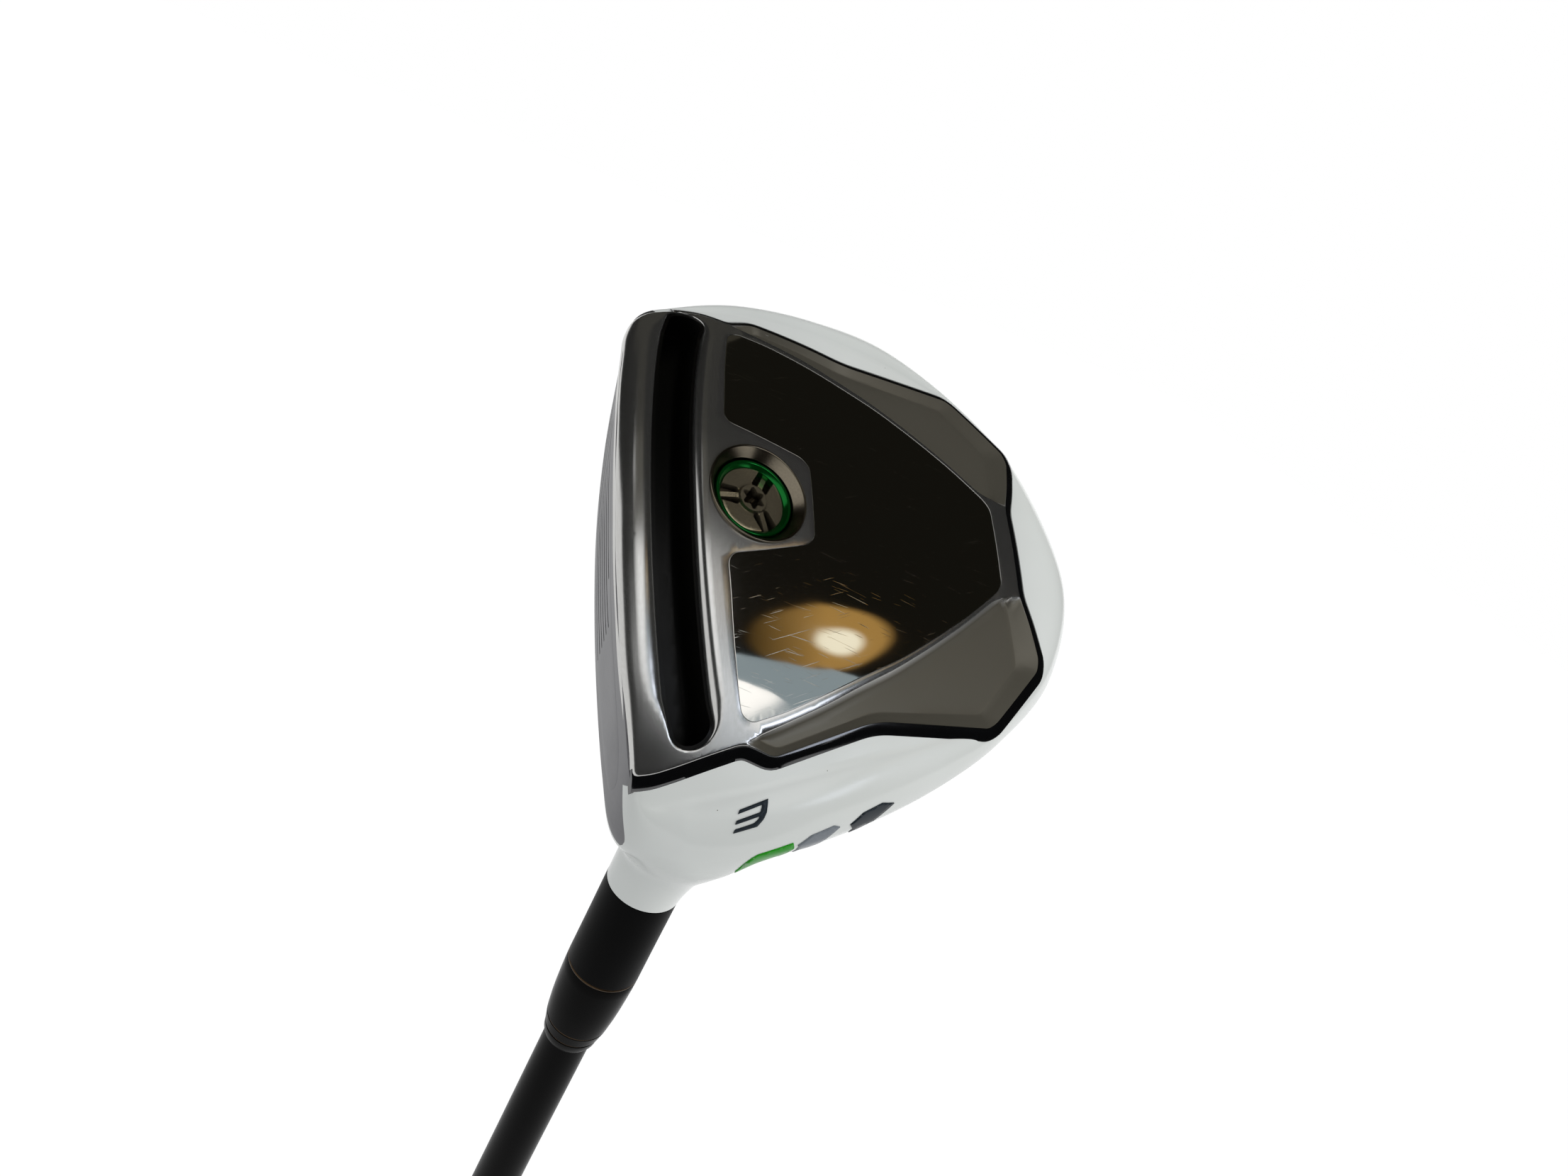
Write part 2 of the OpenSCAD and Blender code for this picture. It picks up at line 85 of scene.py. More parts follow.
# Stations round the head: sole edge x, y, then equator x, y, z, then roundness
STATIONS = np.array((
    (0, -3.0, 0, 5.5, 35.0, 0),
    (16, -2.1, 16, 6.0, 34.4, 0),
    (30, 0.6, 30, 6.7, 31.5, 0),
    (39, 4.8, 40.5, 8, 26.6, 0.15),
    (43.6, 11.6, 47.0, 13.2, 24.2, 0.8),
    (46.5, 24, 52.4, 25, 23.5, 1),
    (44.5, 40, 53.3, 40, 22.0, 1),
    (40.5, 55, 50.8, 55.4, 19.0, 1),
    (33, 67.5, 39.6, 69.2, 15.5, 1),
    (18, 76, 24.2, 83.4, 12.5, 1),
    (0, 76, 0, 92.8, 11.0, 1),
    (-18, 76, -21.4, 85.2, 12.0, 1),
    (-31.5, 68, -35.2, 71.3, 14.5, 1),
    (-37, 55, -44.6, 57.5, 18.0, 1),
    (-42, 40, -52, 41.2, 21.5, 1),
    (-46.5, 25, -56.4, 26, 25.5, 1),
    (-49, 14, -56.6, 15.5, 28.5, 1),
    (-48, 7, -53, 7.3, 29.2, 0.5),
    (-38.5, 2.9, -40.3, 6.2, 31.6, 0),
    (-20, -1.6, -20, 5.6, 34.0, 0),
))

# Outlines on the sole in plan: x, y and the corner's rounding
PLATE_TOE = (
    (0, -3.2, 8), (16, -2.3, 7), (30, 0.3, 3), (35.5, 2.4, 2.5), (38.6, 5, 1.8), (40.6, 8.4, 1.8),
    (42, 12.4, 2), (42.2, 16.4, 2),
)
PLATE_HEEL = (
    (-16, -2.3, 7), (-30, 0.3, 5), (-41, 3.9, 2.5), (-45.3, 5.2, 0.8), (-45, 8, 1.2), (-44, 11, 1.5),
    (-42.2, 15.6, 2),
)
PLATE_WING = (
    (40.2, 21, 1.5), (41.8, 25.8, 1.0), (35.2, 42.6, 3), (33.9, 65.2, 0.7), (32.9, 66.8, 0.7),
    (22.8, 75.9, 0.9), (20.4, 76.3, 0.9), (14.3, 74.7, 2), (9, 72.9, 2),
)
INLAY_HALF = (
    (6.8, 30.2, 1.2), (8.3, 28.8, 1.0), (10.6, 21.5, 3), (12.2, 15.6, 0.8), (13.6, 14.8, 1.2),
    (25, 16.6, 4), (33, 18.6, 3), (36.2, 19.6, 1.2), (37.3, 21.4, 1.0), (35.2, 27, 2),
    (31.6, 34, 3), (28, 40.5, 3), (24.6, 47, 3), (20, 54, 3), (15.2, 60.8, 3), (9.6, 67.6, 1.2),
    (7.8, 68.9, 1.2),
)
TRAY_FLOOR = (
    (9.6, 70.6, 0.6), (14.8, 71.3, 1), (22, 72.1, 0.8), (31.3, 64.1, 0.8), (33.4, 42.6, 2),
    (38.1, 31.7, 2), (40.1, 26.8, 0.8), (39.2, 23.4, 0.3), (37.9, 26.9, 2), (34.4, 33.9, 3),
    (30.9, 39.8, 3), (27.3, 46.3, 3), (22.9, 53.0, 3), (17.9, 60.0, 3), (11.9, 67.6, 1.5),
)
TRAY_BRIM = (
    (9.2, 73.1, 0.6), (14.3, 74.9, 1), (20.4, 76.6, 0.8), (22.9, 76.2, 0.8), (33.1, 67.0, 0.6),
    (34.2, 65.3, 0.6), (35.5, 42.6, 3), (42.1, 25.8, 0.8), (40.0, 20.9, 0.3), (37.2, 26.3, 2),
    (33.6, 33.4, 3), (30.1, 39.2, 3), (26.5, 45.7, 3), (22.1, 52.4, 3), (17.1, 59.4, 3),
    (11.0, 67.0, 1.5),
)
TRAY_DEPTH = 1.4
SLOT_HALF = 38.0
SLOT_WIDTH = 6.9
SLOT_FRONT = 5.75
SLOT_BOW = 0.0046
LIP_END = 40.5
LIP_FADE = 6.0
LIP_LEAST = 0.25
FACE_INSERT = (
    (-40, 19, 3), (-30, 15.5, 5), (-15, 11.8, 6), (0, 10.6, 6), (15, 11.8, 6), (30, 15.5, 4),
    (37, 20, 2.5), (38, 25, 2), (30, 28.6, 3), (16, 31.4, 6), (0, 32, 6), (-20, 31, 6),
    (-40, 28.6, 3), (-45, 27, 1.6), (-45, 23, 1.6),
)
PORT = np.array((-0.8, 20.2))
PORT_RADIUS = 8.9
PORT_RIM = 1.3
PORT_FLOOR = 6.3
BEZEL_WIDTH = 1.9
BEZEL_TOE_START = 11.0
BEZEL_HEEL_CUT = ((-41.0, 3.9), (-45.3, 5.2))

# Relief of the finishes' bump, in metres
RELIEF = 0.0001


def to_row(points):
    """Head millimetres to row metres."""
    rel = np.asarray(points, float) - NECK_END
    return np.stack((rel @ ROW_X, rel @ ROW_Y, rel @ ROW_Z + NECK_AT), axis=-1) / 1000.0


def club_to_row(points):
    """Millimetres on the shaft's own axis, z up from the butt, to row metres."""
    return np.asarray(points, float) / 1000.0


def linear(hex_code):
    """sRGB hex to linear red, green, blue and alpha."""
    values = [int(hex_code[i:i + 2], 16) / 255.0 for i in (1, 3, 5)]
    return tuple(v / 12.92 if v <= 0.04045 else ((v + 0.055) / 1.055) ** 2.4 for v in values) + (1.0,)


def sole_z(x, y):
    """Height of the sole surface over a plan point, with its rocker, front roll and camber."""
    fall = CAMBER_GAIN - CAMBER_FADE * y
    camber = CAMBER_BACK + 0.5 * (fall + np.sqrt(fall * fall + CAMBER_EASE * CAMBER_EASE))
    roll = ROLL_RISE * np.exp(-(y - SOLE_FRONT) / ROLL_RUN)
    return SOLE_BASE - ROCKER * y + roll + camber * x * x


def on_sole(plan, depth):
    """Plan points at a depth below the sole surface."""
    return np.column_stack((plan, sole_z(plan[:, 0], plan[:, 1]) + depth))


# Plan loops

def corner_arc(before, here, after, radius, limit, shares):
    """Points of the curve that rounds a corner, which takes up at most that share of each side."""
    back = before - here
    ahead = after - here
    cut = min(radius, limit * np.linalg.norm(back), limit * np.linalg.norm(ahead))
    start = here + back / np.linalg.norm(back) * cut
    end = here + ahead / np.linalg.norm(ahead) * cut
    return [(1 - t) ** 2 * start + 2 * t * (1 - t) * here + t * t * end for t in shares]


def rounded(corners, step):
    """Closed outline with each corner rounded, sampled evenly."""
    pts = np.array([c[:2] for c in corners], float)
    shares = np.linspace(0.0, 1.0, 8)
    chain = []
    for i, corner in enumerate(corners):
        chain += corner_arc(pts[i - 1], pts[i], pts[(i + 1) % len(pts)], corner[2], 0.45, shares)
    return even(np.array(chain), step)


def even(chain, step):
    """Closed chain resampled at an even step."""
    closed = np.vstack((chain, chain[:1]))
    lengths = np.concatenate(((0.0,), np.cumsum(np.linalg.norm(np.diff(closed, axis=0), axis=1))))
    count = max(8, int(round(lengths[-1] / step)))
    at = np.linspace(0.0, lengths[-1], count, endpoint=False)
    return np.stack([np.interp(at, lengths, closed[:, c]) for c in range(closed.shape[1])], axis=1)


def grown(loop, distance):
    """Counter-clockwise loop moved outwards along its normals."""
    tangent = np.roll(loop, -1, axis=0) - np.roll(loop, 1, axis=0)
    tangent /= np.linalg.norm(tangent, axis=1)[:, None]
    return loop + distance * np.stack((tangent[:, 1], -tangent[:, 0]), axis=1)


def flipped(loop):
    """The heel side's copy of a toe side loop, still counter-clockwise."""
    return (loop * (-1.0, 1.0))[::-1]


def inside(points, loop):
    """True where a plan point lies in the loop."""
    x, y = points[:, 0], points[:, 1]
    result = np.zeros(len(points), bool)
    for (x0, y0), (x1, y1) in zip(loop, np.roll(loop, -1, axis=0)):
        crosses = (y0 > y) != (y1 > y)
        if crosses.any():
            result ^= crosses & (x < (x1 - x0) * (y - y0) / (y1 - y0 + 1e-15) + x0)
    return result


def distance(points, loop):
    """Distance from plan points to the loop's line."""
    best = np.full(len(points), 1e9)
    for a, b in zip(loop, np.roll(loop, -1, axis=0)):
        run = b - a
        t = np.clip(((points - a) @ run) / (run @ run + 1e-15), 0.0, 1.0)
        best = np.minimum(best, np.linalg.norm(points - a - t[:, None] * run, axis=1))
    return best


def outside_by(points, loop):
    """Signed distance: positive outside the loop."""
    return distance(points, loop) * np.where(inside(points, loop), -1.0, 1.0)


def slot_loop(step):
    """Crescent slot outline with round ends."""
    x = np.linspace(-SLOT_HALF, SLOT_HALF, 90)
    middle = np.stack((x, SLOT_FRONT + SLOT_BOW * x * x), axis=1)
    slope = np.stack((np.ones_like(x), 2 * SLOT_BOW * x), axis=1)
    slope /= np.linalg.norm(slope, axis=1)[:, None]
    across = np.stack((-slope[:, 1], slope[:, 0]), axis=1) * SLOT_WIDTH / 2
    ends = []
    for end, first in ((-1, -math.pi / 2), (0, math.pi / 2)):
        heading = math.atan2(slope[end][1], slope[end][0])
        turn = np.linspace(0, math.pi, 16)[1:-1] + first + heading
        ends.append(middle[end] + SLOT_WIDTH / 2 * np.stack((np.cos(turn), np.sin(turn)), axis=1))
    return even(np.vstack((middle - across, ends[0], (middle + across)[::-1], ends[1])), step)


def lip_share(x):
    """How fully the slot's lips are rolled, less towards its two ends."""
    return np.clip((LIP_END - np.abs(x)) / LIP_FADE, LIP_LEAST, 1)


def circle_loop(centre, radius, count):
    """Circle in plan."""
    turn = np.linspace(0, 2 * math.pi, count, endpoint=False)
    return np.asarray(centre) + radius * np.stack((np.cos(turn), np.sin(turn)), axis=1)


def plate_loop(step):
    """Outline of the whole sole plate."""
    heel = PLATE_HEEL + tuple((-x, y, r) for x, y, r in PLATE_WING)
    return rounded(PLATE_TOE + PLATE_WING + heel[::-1], step)


def inlay_loop(step):
    """Outline of the polished inlay."""
    return rounded(INLAY_HALF + tuple((-x, y, r) for x, y, r in INLAY_HALF[::-1]), step)


# Meshes from plan loops

def triangles(loops, spacing, keep, chains=()):
    """Triangulates the plan between loops, with a grid of points between them, where keep says so."""
    row_height = spacing * 0.866
    clearance = spacing * 0.55
    marks = np.vstack(loops)
    edges = []
    base = 0
    for loop in loops:
        count = len(loop)
        edges += [(base + i, base + (i + 1) % count) for i in range(count)]
        base += count
    for chain in chains:
        marks = np.vstack((marks, chain))
        edges += [(base + i, base + i + 1) for i in range(len(chain) - 1)]
        base += len(chain)
    low = marks.min(0)
    high = marks.max(0)
    rows = []
    for j, y in enumerate(np.arange(low[1], high[1], row_height)):
        shift = spacing / 2 * (j % 2)
        rows.append([(x + shift, y) for x in np.arange(low[0], high[0], spacing)])
    grid = np.array([p for row in rows for p in row])
    clear = np.full(len(grid), 1e9)
    for part in np.array_split(marks, max(1, len(marks) // 200)):
        gaps = np.linalg.norm(grid[:, None, :] - part[None, :, :], axis=2)
        clear = np.minimum(clear, gaps.min(1))
    grid = grid[clear > clearance]
    grid = grid[keep(grid)]
    plan = np.vstack((marks, grid))
    verts, _, faces, _, _, _ = delaunay_2d_cdt([Vector(p) for p in plan], edges, [], 0, 1e-4)
    verts = np.array([tuple(v) for v in verts])
    faces = np.array([tuple(f) for f in faces])
    faces = faces[keep(verts[faces].mean(1))]
    used = np.unique(faces)
    index = np.full(len(verts), -1)
    index[used] = np.arange(len(used))
    faces = index[faces]
    verts = verts[used]
    a, b, c = (verts[faces[:, i]] for i in range(3))
    area = (b - a)[:, 0] * (c - a)[:, 1] - (b - a)[:, 1] * (c - a)[:, 0]
    faces[area < 0] = faces[area < 0][:, ::-1]
    return verts, faces[np.abs(area) > 1e-9]


def rim_edges(faces):
    """Edges that only one face uses, in that face's direction."""
    seen = {}
    for face in faces:
        for i in range(len(face)):
            a, b = face[i], face[(i + 1) % len(face)]
            key = (min(a, b), max(a, b))
            seen[key] = None if key in seen else (a, b)
    return [edge for edge in seen.values() if edge]


def between(outer, inner, faces):
    """Closed solid between an outer and an inner sheet that share their faces."""
    count = len(outer)
    solid = faces.tolist() + (faces[:, ::-1] + count).tolist()
    solid += [(b, a, a + count, b + count) for a, b in rim_edges(faces.tolist())]
    return np.vstack((outer, inner)), solid


def slab(plan, faces, front, back):
    """Closed solid between two surfaces over the same plan; the front one looks down at the ground."""
    return between(np.column_stack((plan, front)), np.column_stack((plan, back)), faces[:, ::-1])


def ring_faces(loops, count, closed):
    """Quads between loops that have equally many points."""
    quads = []
    for j in range(loops if closed else loops - 1):
        lower = j * count
        upper = ((j + 1) % loops) * count
        for i in range(count):
            after = (i + 1) % count
            quads.append((lower + i, lower + after, upper + after, upper + i))
    return quads


# Objects

def select_only(obj):
    """Makes one object the active and only selected one."""
    for other in bpy.context.selected_objects:
        other.select_set(False)
    bpy.context.view_layer.objects.active = obj
    obj.select_set(True)


def mesh_piece(name, points, faces):
    """New smooth-shaded object from row metres."""
    mesh = bpy.data.meshes.new(name)
    mesh.from_pydata(np.asarray(points).tolist(), [], [tuple(f) for f in faces], shade_flat=False)
    mesh.update()
    obj = bpy.data.objects.new(name, mesh)
    bpy.context.scene.collection.objects.link(obj)
    return obj


def outward(obj):
    """Merges doubles and turns a closed piece's faces outwards."""
    select_only(obj)
    bpy.ops.object.mode_set(mode="EDIT")
    bpy.ops.mesh.select_all(action="SELECT")
    bpy.ops.mesh.remove_doubles(threshold=2e-7)
    bpy.ops.mesh.normals_make_consistent(inside=False)
    bpy.ops.object.mode_set(mode="OBJECT")
    return obj


def smooth_by(obj, degrees):
    """Smooth shading that keeps edges sharper than the angle."""
    select_only(obj)
    bpy.ops.object.shade_smooth_by_angle(angle=math.radians(degrees))
    return obj


def dress(obj, finish_key):
    """Gives an object its finish."""
    obj.data.materials.clear()
    obj.data.materials.append(Shared.finishes[finish_key])


def settle(obj, body, node, finish_key):
    """Gives a finished piece its body, hides the solid that it stands for, if any, and gives it its finish.
    """
    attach(obj, body)
    if node:
        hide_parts(node)
    dress(obj, finish_key)
    return obj


def note_points(obj, name, values):
    """Stores one number for each vertex, for the finish to read."""
    layer = obj.data.attributes.new(name, "FLOAT", "POINT")
    layer.data.foreach_set("value", np.asarray(values, np.float32))


def turned(name, profile, segments, place):
    """Lathe piece: a closed profile of radius and height pairs spun about its axis in edit mode."""
    mesh = bpy.data.meshes.new(name)
    chain = [(r / 1000.0, 0.0, z / 1000.0) for r, z in profile]
    edges = [(i, (i + 1) % len(chain)) for i in range(len(chain))]
    mesh.from_pydata(chain, edges, [])
    obj = bpy.data.objects.new(name, mesh)
    bpy.context.scene.collection.objects.link(obj)
    select_only(obj)
    bpy.ops.object.mode_set(mode="EDIT")
    bpy.ops.mesh.select_all(action="SELECT")
    bpy.ops.mesh.spin(steps=segments, angle=2 * math.pi, center=(0, 0, 0), axis=(0, 0, 1))
    bpy.ops.object.mode_set(mode="OBJECT")
    outward(obj)
    coords = np.zeros(len(mesh.vertices) * 3)
    mesh.vertices.foreach_get("co", coords)
    mesh.vertices.foreach_set("co", place(coords.reshape(-1, 3) * 1000.0).ravel())
    mesh.update()
    return obj


def on_port(points):
    """Millimetres about the weight's own axis to row metres."""
    return to_row(np.asarray(points) + (PORT[0], PORT[1], 0.0))


def softened(profile, radius, closed=True):
    """Rounds a profile's corners with small arcs."""
    pts = np.array(profile, float)
    shares = (0.0, 0.33, 0.67, 1.0)
    out = []
    for i, here in enumerate(pts):
        if not closed and i in (0, len(pts) - 1):
            out.append(tuple(here))
            continue
        arc = corner_arc(pts[i - 1], here, pts[(i + 1) % len(pts)], radius, 0.4, shares)
        out += [tuple(p) for p in arc]
    return out


# Head shell

class HeadForm:
    """The head's outer skin as a grid of columns round the head and rings from sole to crown."""

    columns = 384
    skirt_rings = 30
    bend_rings = 7
    crown_rings = 40
    crown_power = 2.4
    crown_close = 0.995
    crown_spread = 1.15
    sharp_ease = 1.2
    round_ease = 4.8
    flare_depth = 15.0
    flare_power = 1.6
    flare_limit = 1.3
    rod_depth = 12.0
    blend_least = 2.5
    blend_gain = 0.45
    blend_most = 7.0
    neck_search = 12.0
    neck_deepest = 22.0
    neck_step = 0.5
    neck_lap = 1.6
    neck_sink = 0.06
    sink_from = 0.75

    def __init__(self, flare):
        self.flare = flare
        self.u = np.arange(self.columns) * len(STATIONS) / self.columns
        first = np.floor(self.u).astype(int)
        t = (self.u - first)[:, None]
        a, b, c, d = (STATIONS[(first + k) % len(STATIONS)] for k in (-1, 0, 1, 2))
        self.table = 0.5 * (2 * b + (c - a) * t + (2 * a - 5 * b + 4 * c - d) * t ** 2
                            + (3 * b - a - 3 * c + d) * t ** 3)
        self.roundness = np.clip(self.table[:, 5], 0.0, 1.0)
        self.split = self.skirt_rings + self.bend_rings // 2
        self.points = np.stack([self.column(k) for k in range(self.columns)])
        self.count = self.points.shape[1]
        self.plain = self.points.copy()
        self.normals = self.grid_normals(self.points)
        self.tree = BVHTree.FromPolygons(self.plain.reshape(-1, 3).tolist(), self.grid_faces(self.count, 0))
        self.neck_gap = self.neck_distance(*self.neck_place(self.plain))
        self.points = self.drawn_to_neck()
        self.normals = self.grid_normals(self.points)

    def column(self, k):
        """One profile from the sole edge over the rounded equator to the top of the crown."""
        row = self.table[k]
        w = self.roundness[k]
        v = np.linspace(0.0, 1.0, 80)
        q = np.linspace(1.0, 0.0, 120)
        across = v + (np.sin(v * math.pi / 2) - v) * w
        rise = v + (1 - np.cos(v * math.pi / 2) - v) * w
        foot = sole_z(row[0], row[1]) + PLATE_PROUD
        skirt = np.column_stack((row[0] + (row[2] - row[0]) * across, row[1] + (row[3] - row[1]) * across,
                                 foot + (row[4] - foot) * rise))
        crown = np.column_stack((CENTRE[0] + (row[2] - CENTRE[0]) * q, CENTRE[1] + (row[3] - CENTRE[1]) * q,
                                 row[4] + (HEAD_TOP - row[4]) * (1 - q ** self.crown_power)))
        whole = np.vstack((skirt, crown[1:]))
        arc = np.concatenate(((0.0,), np.cumsum(np.linalg.norm(np.diff(whole, axis=0), axis=1))))
        edge = arc[len(v) - 1]
        ease = self.sharp_ease + self.round_ease * w

        def pick(at):
            return np.stack([np.interp(at, arc, whole[:, c]) for c in range(3)], axis=-1)

        low = pick(np.linspace(0.0, edge - ease, self.skirt_rings))
        t = np.linspace(0.0, 1.0, self.bend_rings + 2)[1:-1, None]
        start, corner, end = pick(edge - ease), pick(edge), pick(edge + ease)
        bend = (1 - t) ** 2 * start + 2 * t * (1 - t) * corner + t * t * end
        climb = np.linspace(0.0, self.crown_close, self.crown_rings) ** self.crown_spread
        high = pick(edge + ease + (arc[-1] - edge - ease) * climb)
        return np.vstack((low, bend, high))

    def grid_faces(self, count, first):
        """Quads of a grid with that many rings, from one of them to the last, looking outwards."""
        faces = []
        for k in range(self.columns):
            here = k * count
            there = ((k + 1) % self.columns) * count
            faces += [(here + j, there + j, there + j + 1, here + j + 1) for j in range(first, count - 1)]
        return faces

    def grid_normals(self, points):
        """Smooth normals over the whole grid."""
        round_way = np.roll(points, -1, axis=0) - np.roll(points, 1, axis=0)
        up_way = np.gradient(points, axis=1)
        normal = np.cross(round_way, up_way)
        return normal / np.maximum(np.linalg.norm(normal, axis=2), 1e-12)[..., None]

    def neck_place(self, points):
        """Depth below the neck's end, distance from its axis, and how far that side faces back."""
        rel = np.asarray(points) - NECK_END
        depth = -(rel @ TO_GRIP)
        aside = rel + depth[..., None] * TO_GRIP
        away = np.linalg.norm(aside, axis=-1)
        return depth, away, aside[..., 1] / np.maximum(away, 1e-9)

    def swell(self, back):
        """Share of the flare on a side of the neck: none at the face, all of it at the back."""
        return np.clip(0.5 + 0.6 * back, 0.0, 1.0)

    def flared(self, depth, back):
        """Radius that the neck gains at a depth."""
        share = np.clip(depth / self.flare_depth, 0, self.flare_limit)
        return self.flare * share ** self.flare_power * self.swell(back)

    def neck_distance(self, depth, away, back):
        """Distance outside the flared neck, which ends inside the head."""
        aside = away - NECK_RADIUS - self.flared(depth, back)
        below = depth - self.rod_depth
        return np.minimum(np.maximum(aside, below), 0) + np.hypot(np.maximum(aside, 0), np.maximum(below, 0))

    def joined(self, gap, depth, away, back):
        """Soft union of the head, at that distance, with the neck."""
        neck = self.neck_distance(depth, away, back)
        reach = np.clip(self.blend_least + self.blend_gain * depth, self.blend_least, self.blend_most)
        reach = reach * (0.55 + 0.45 * self.swell(back))
        share = np.clip(1 - np.abs(gap - neck) / reach, 0, 1)
        return np.minimum(gap, neck) - share * share * reach / 4

    def drawn_to_neck(self):
        """Skin points moved out so that head and neck flow into each other."""
        low = np.zeros(self.plain.shape[:2])
        high = np.full(self.plain.shape[:2], self.neck_search)
        for _ in range(32):
            middle = (low + high) / 2
            moved = self.plain + middle[..., None] * self.normals
            inner = self.joined(middle, *self.neck_place(moved)) < 0
            low = np.where(inner, middle, low)
            high = np.where(inner, high, middle)
        return self.plain + low[..., None] * self.normals

    def head_distance(self, point):
        """Signed distance from a point to the plain head form."""
        spot, normal, _, gap = self.tree.find_nearest(Vector(point))
        return gap if (Vector(point) - spot).dot(normal) > 0 else -gap

    def neck_radials(self, around):
        """Directions round the neck's axis."""
        side = np.array((0.0, 1.0, 0.0))
        other = np.cross(TO_GRIP, side)
        turn = np.linspace(0, 2 * math.pi, around, endpoint=False)
        return np.cos(turn)[:, None] * side + np.sin(turn)[:, None] * other

    def neck_rings(self, radials, steps):
        """Rings of the neck from its end down to where it lies on the head."""
        rings = np.zeros((steps, len(radials), 3))
        for i, radial in enumerate(radials):
            depth = COLLAR_LAP + self.neck_step
            while depth < self.neck_deepest:
                radius = self.neck_root(depth, radial)
                gap = self.head_distance(NECK_END - depth * TO_GRIP + radius * radial)
                if self.neck_distance(depth, radius, radial[1]) > gap + self.neck_lap:
                    break
                depth += self.neck_step
            for j, share in enumerate(np.linspace(0.0, 1.0, steps)):
                here = COLLAR_LAP + (depth - COLLAR_LAP) * share
                radius = self.neck_root(here, radial)
                sunk = self.neck_sink * max(0.0, (share - self.sink_from) / (1 - self.sink_from)) ** 2
                rings[j, i] = NECK_END - here * TO_GRIP + (radius - sunk) * radial
        return rings

    def neck_root(self, depth, radial):
        """Radius at which the soft union of head and neck has its surface."""
        low = NECK_RADIUS - 0.01
        high = NECK_RADIUS + self.neck_search
        for _ in range(18):
            middle = (low + high) / 2
            gap = self.head_distance(NECK_END - depth * TO_GRIP + middle * radial)
            if self.joined(gap, depth, middle, radial[1]) < 0:
                low = middle
            else:
                high = middle
        return low


def shell(points, normals, faces, wall):
    """Closed shell: the outer skin, its inner copy and the rims between them."""
    used = np.unique(np.array([i for f in faces for i in f]))
    index = np.full(len(points), -1)
    index[used] = np.arange(len(used))
    outer = points[used]
    facing = normals[used]
    skin = [tuple(index[list(f)]) for f in faces]
    count = len(used)
    inner = [tuple(i + count for i in reversed(f)) for f in skin]
    rims = [(b, a, a + count, b + count) for a, b in rim_edges(skin)]
    return np.vstack((outer, outer - wall * facing)), np.vstack((facing, -facing)), skin + inner + rims, used


def fix_normals(obj, normals):
    """Sets the piece's shading normals, given in head coordinates."""
    turned_normals = np.stack((normals @ ROW_X, normals @ ROW_Y, normals @ ROW_Z), axis=-1)
    obj.data.normals_split_custom_set_from_vertices(turned_normals.tolist())


# Finishes

def add(tree, kind, settings=None, links=None, out=None):
    """Adds a node with its settings and links, and returns it or its output of that name."""
    node = tree.nodes.new("ShaderNode" + kind)
    for key, value in (settings or {}).items():
        if isinstance(key, str) and hasattr(node, key):
            setattr(node, key, value)
        else:
            node.inputs[key].default_value = value
    for key, socket in (links or {}).items():
        tree.links.new(socket, node.inputs[key])
    return node.outputs[out] if out else node


def cleared(owner):
    """Empty node tree of a material or a world."""
    owner.use_nodes = True
    owner.node_tree.nodes.clear()
    return owner.node_tree


def started(name):
    """New material and its empty node tree."""
    material = bpy.data.materials.new(name)
    return material, cleared(material)


def surfaced(material, settings, links):
    """Ends a material with its Principled shader."""
    tree = material.node_tree
    shader = add(tree, "BsdfPrincipled", settings, links, "BSDF")
    add(tree, "OutputMaterial", None, {"Surface": shader})
    return material


def per_mm(size):
    """Texture scale on Object coordinates, in metres, for a feature of that many millimetres."""
    return 1000.0 / size


def colour_of(prop):
    """Property colour as red, green, blue and alpha."""
    return (prop[0], prop[1], prop[2], 1.0)


def blasted(tree, coords, colours):
    """Fine blasting grain of the bare face, and the steel's two tones mixed by it."""
    grain = add(tree, "TexNoise", {"Scale": per_mm(0.9), "Detail": 2.0}, {"Vector": coords}, "Fac")
    steel = add(tree, "MixRGB", {"Color1": colour_of(colours.face), "Color2": linear("#6E6E70")},
                {"Fac": grain}, "Color")
    return grain, steel


def white_enamel(colours):
    """Gloss white enamel sprayed on cast steel: slight orange peel and a few dark specks, and bare
    satin steel where the face was masked off."""
    material, tree = started("white_enamel_sprayed")
    coords = add(tree, "TexCoord", out="Object")
    mask = add(tree, "Attribute", {"attribute_name": "bare_steel"}, out="Fac")
    bare = add(tree, "MapRange", {"From Min": -0.05, "From Max": 0.05}, {"Value": mask}, "Result")
    specks = add(tree, "TexVoronoi", {"Scale": per_mm(5.0)}, {"Vector": coords}, "Distance")
    speck = add(tree, "MapRange", {"From Min": 0.022, "From Max": 0.012}, {"Value": specks}, "Result")
    cloud = add(tree, "TexNoise", {"Scale": per_mm(30.0), "Detail": 3.0}, {"Vector": coords}, "Fac")
    paint = add(tree, "MixRGB", {"Color1": colour_of(colours.paint), "Color2": linear("#D6D8D2")},
                {"Fac": cloud}, "Color")
    dirty = add(tree, "MixRGB", {"Color2": linear("#5A544A")}, {"Fac": speck, "Color1": paint}, "Color")
    _, steel = blasted(tree, coords, colours)
    base = add(tree, "MixRGB", None, {"Fac": bare, "Color1": dirty, "Color2": steel}, "Color")
    rough = add(tree, "MapRange", {"To Min": 0.2, "To Max": 0.46}, {"Value": bare}, "Result")
    peel = add(tree, "TexNoise", {"Scale": per_mm(1.6), "Detail": 2.0}, {"Vector": coords}, "Fac")
    bump = add(tree, "Bump", {"Strength": 0.06, "Distance": RELIEF}, {"Height": peel}, "Normal")
    return surfaced(material, {"Specular IOR Level": 0.5},
                    {"Base Color": base, "Metallic": bare, "Roughness": rough, "Normal": bump})


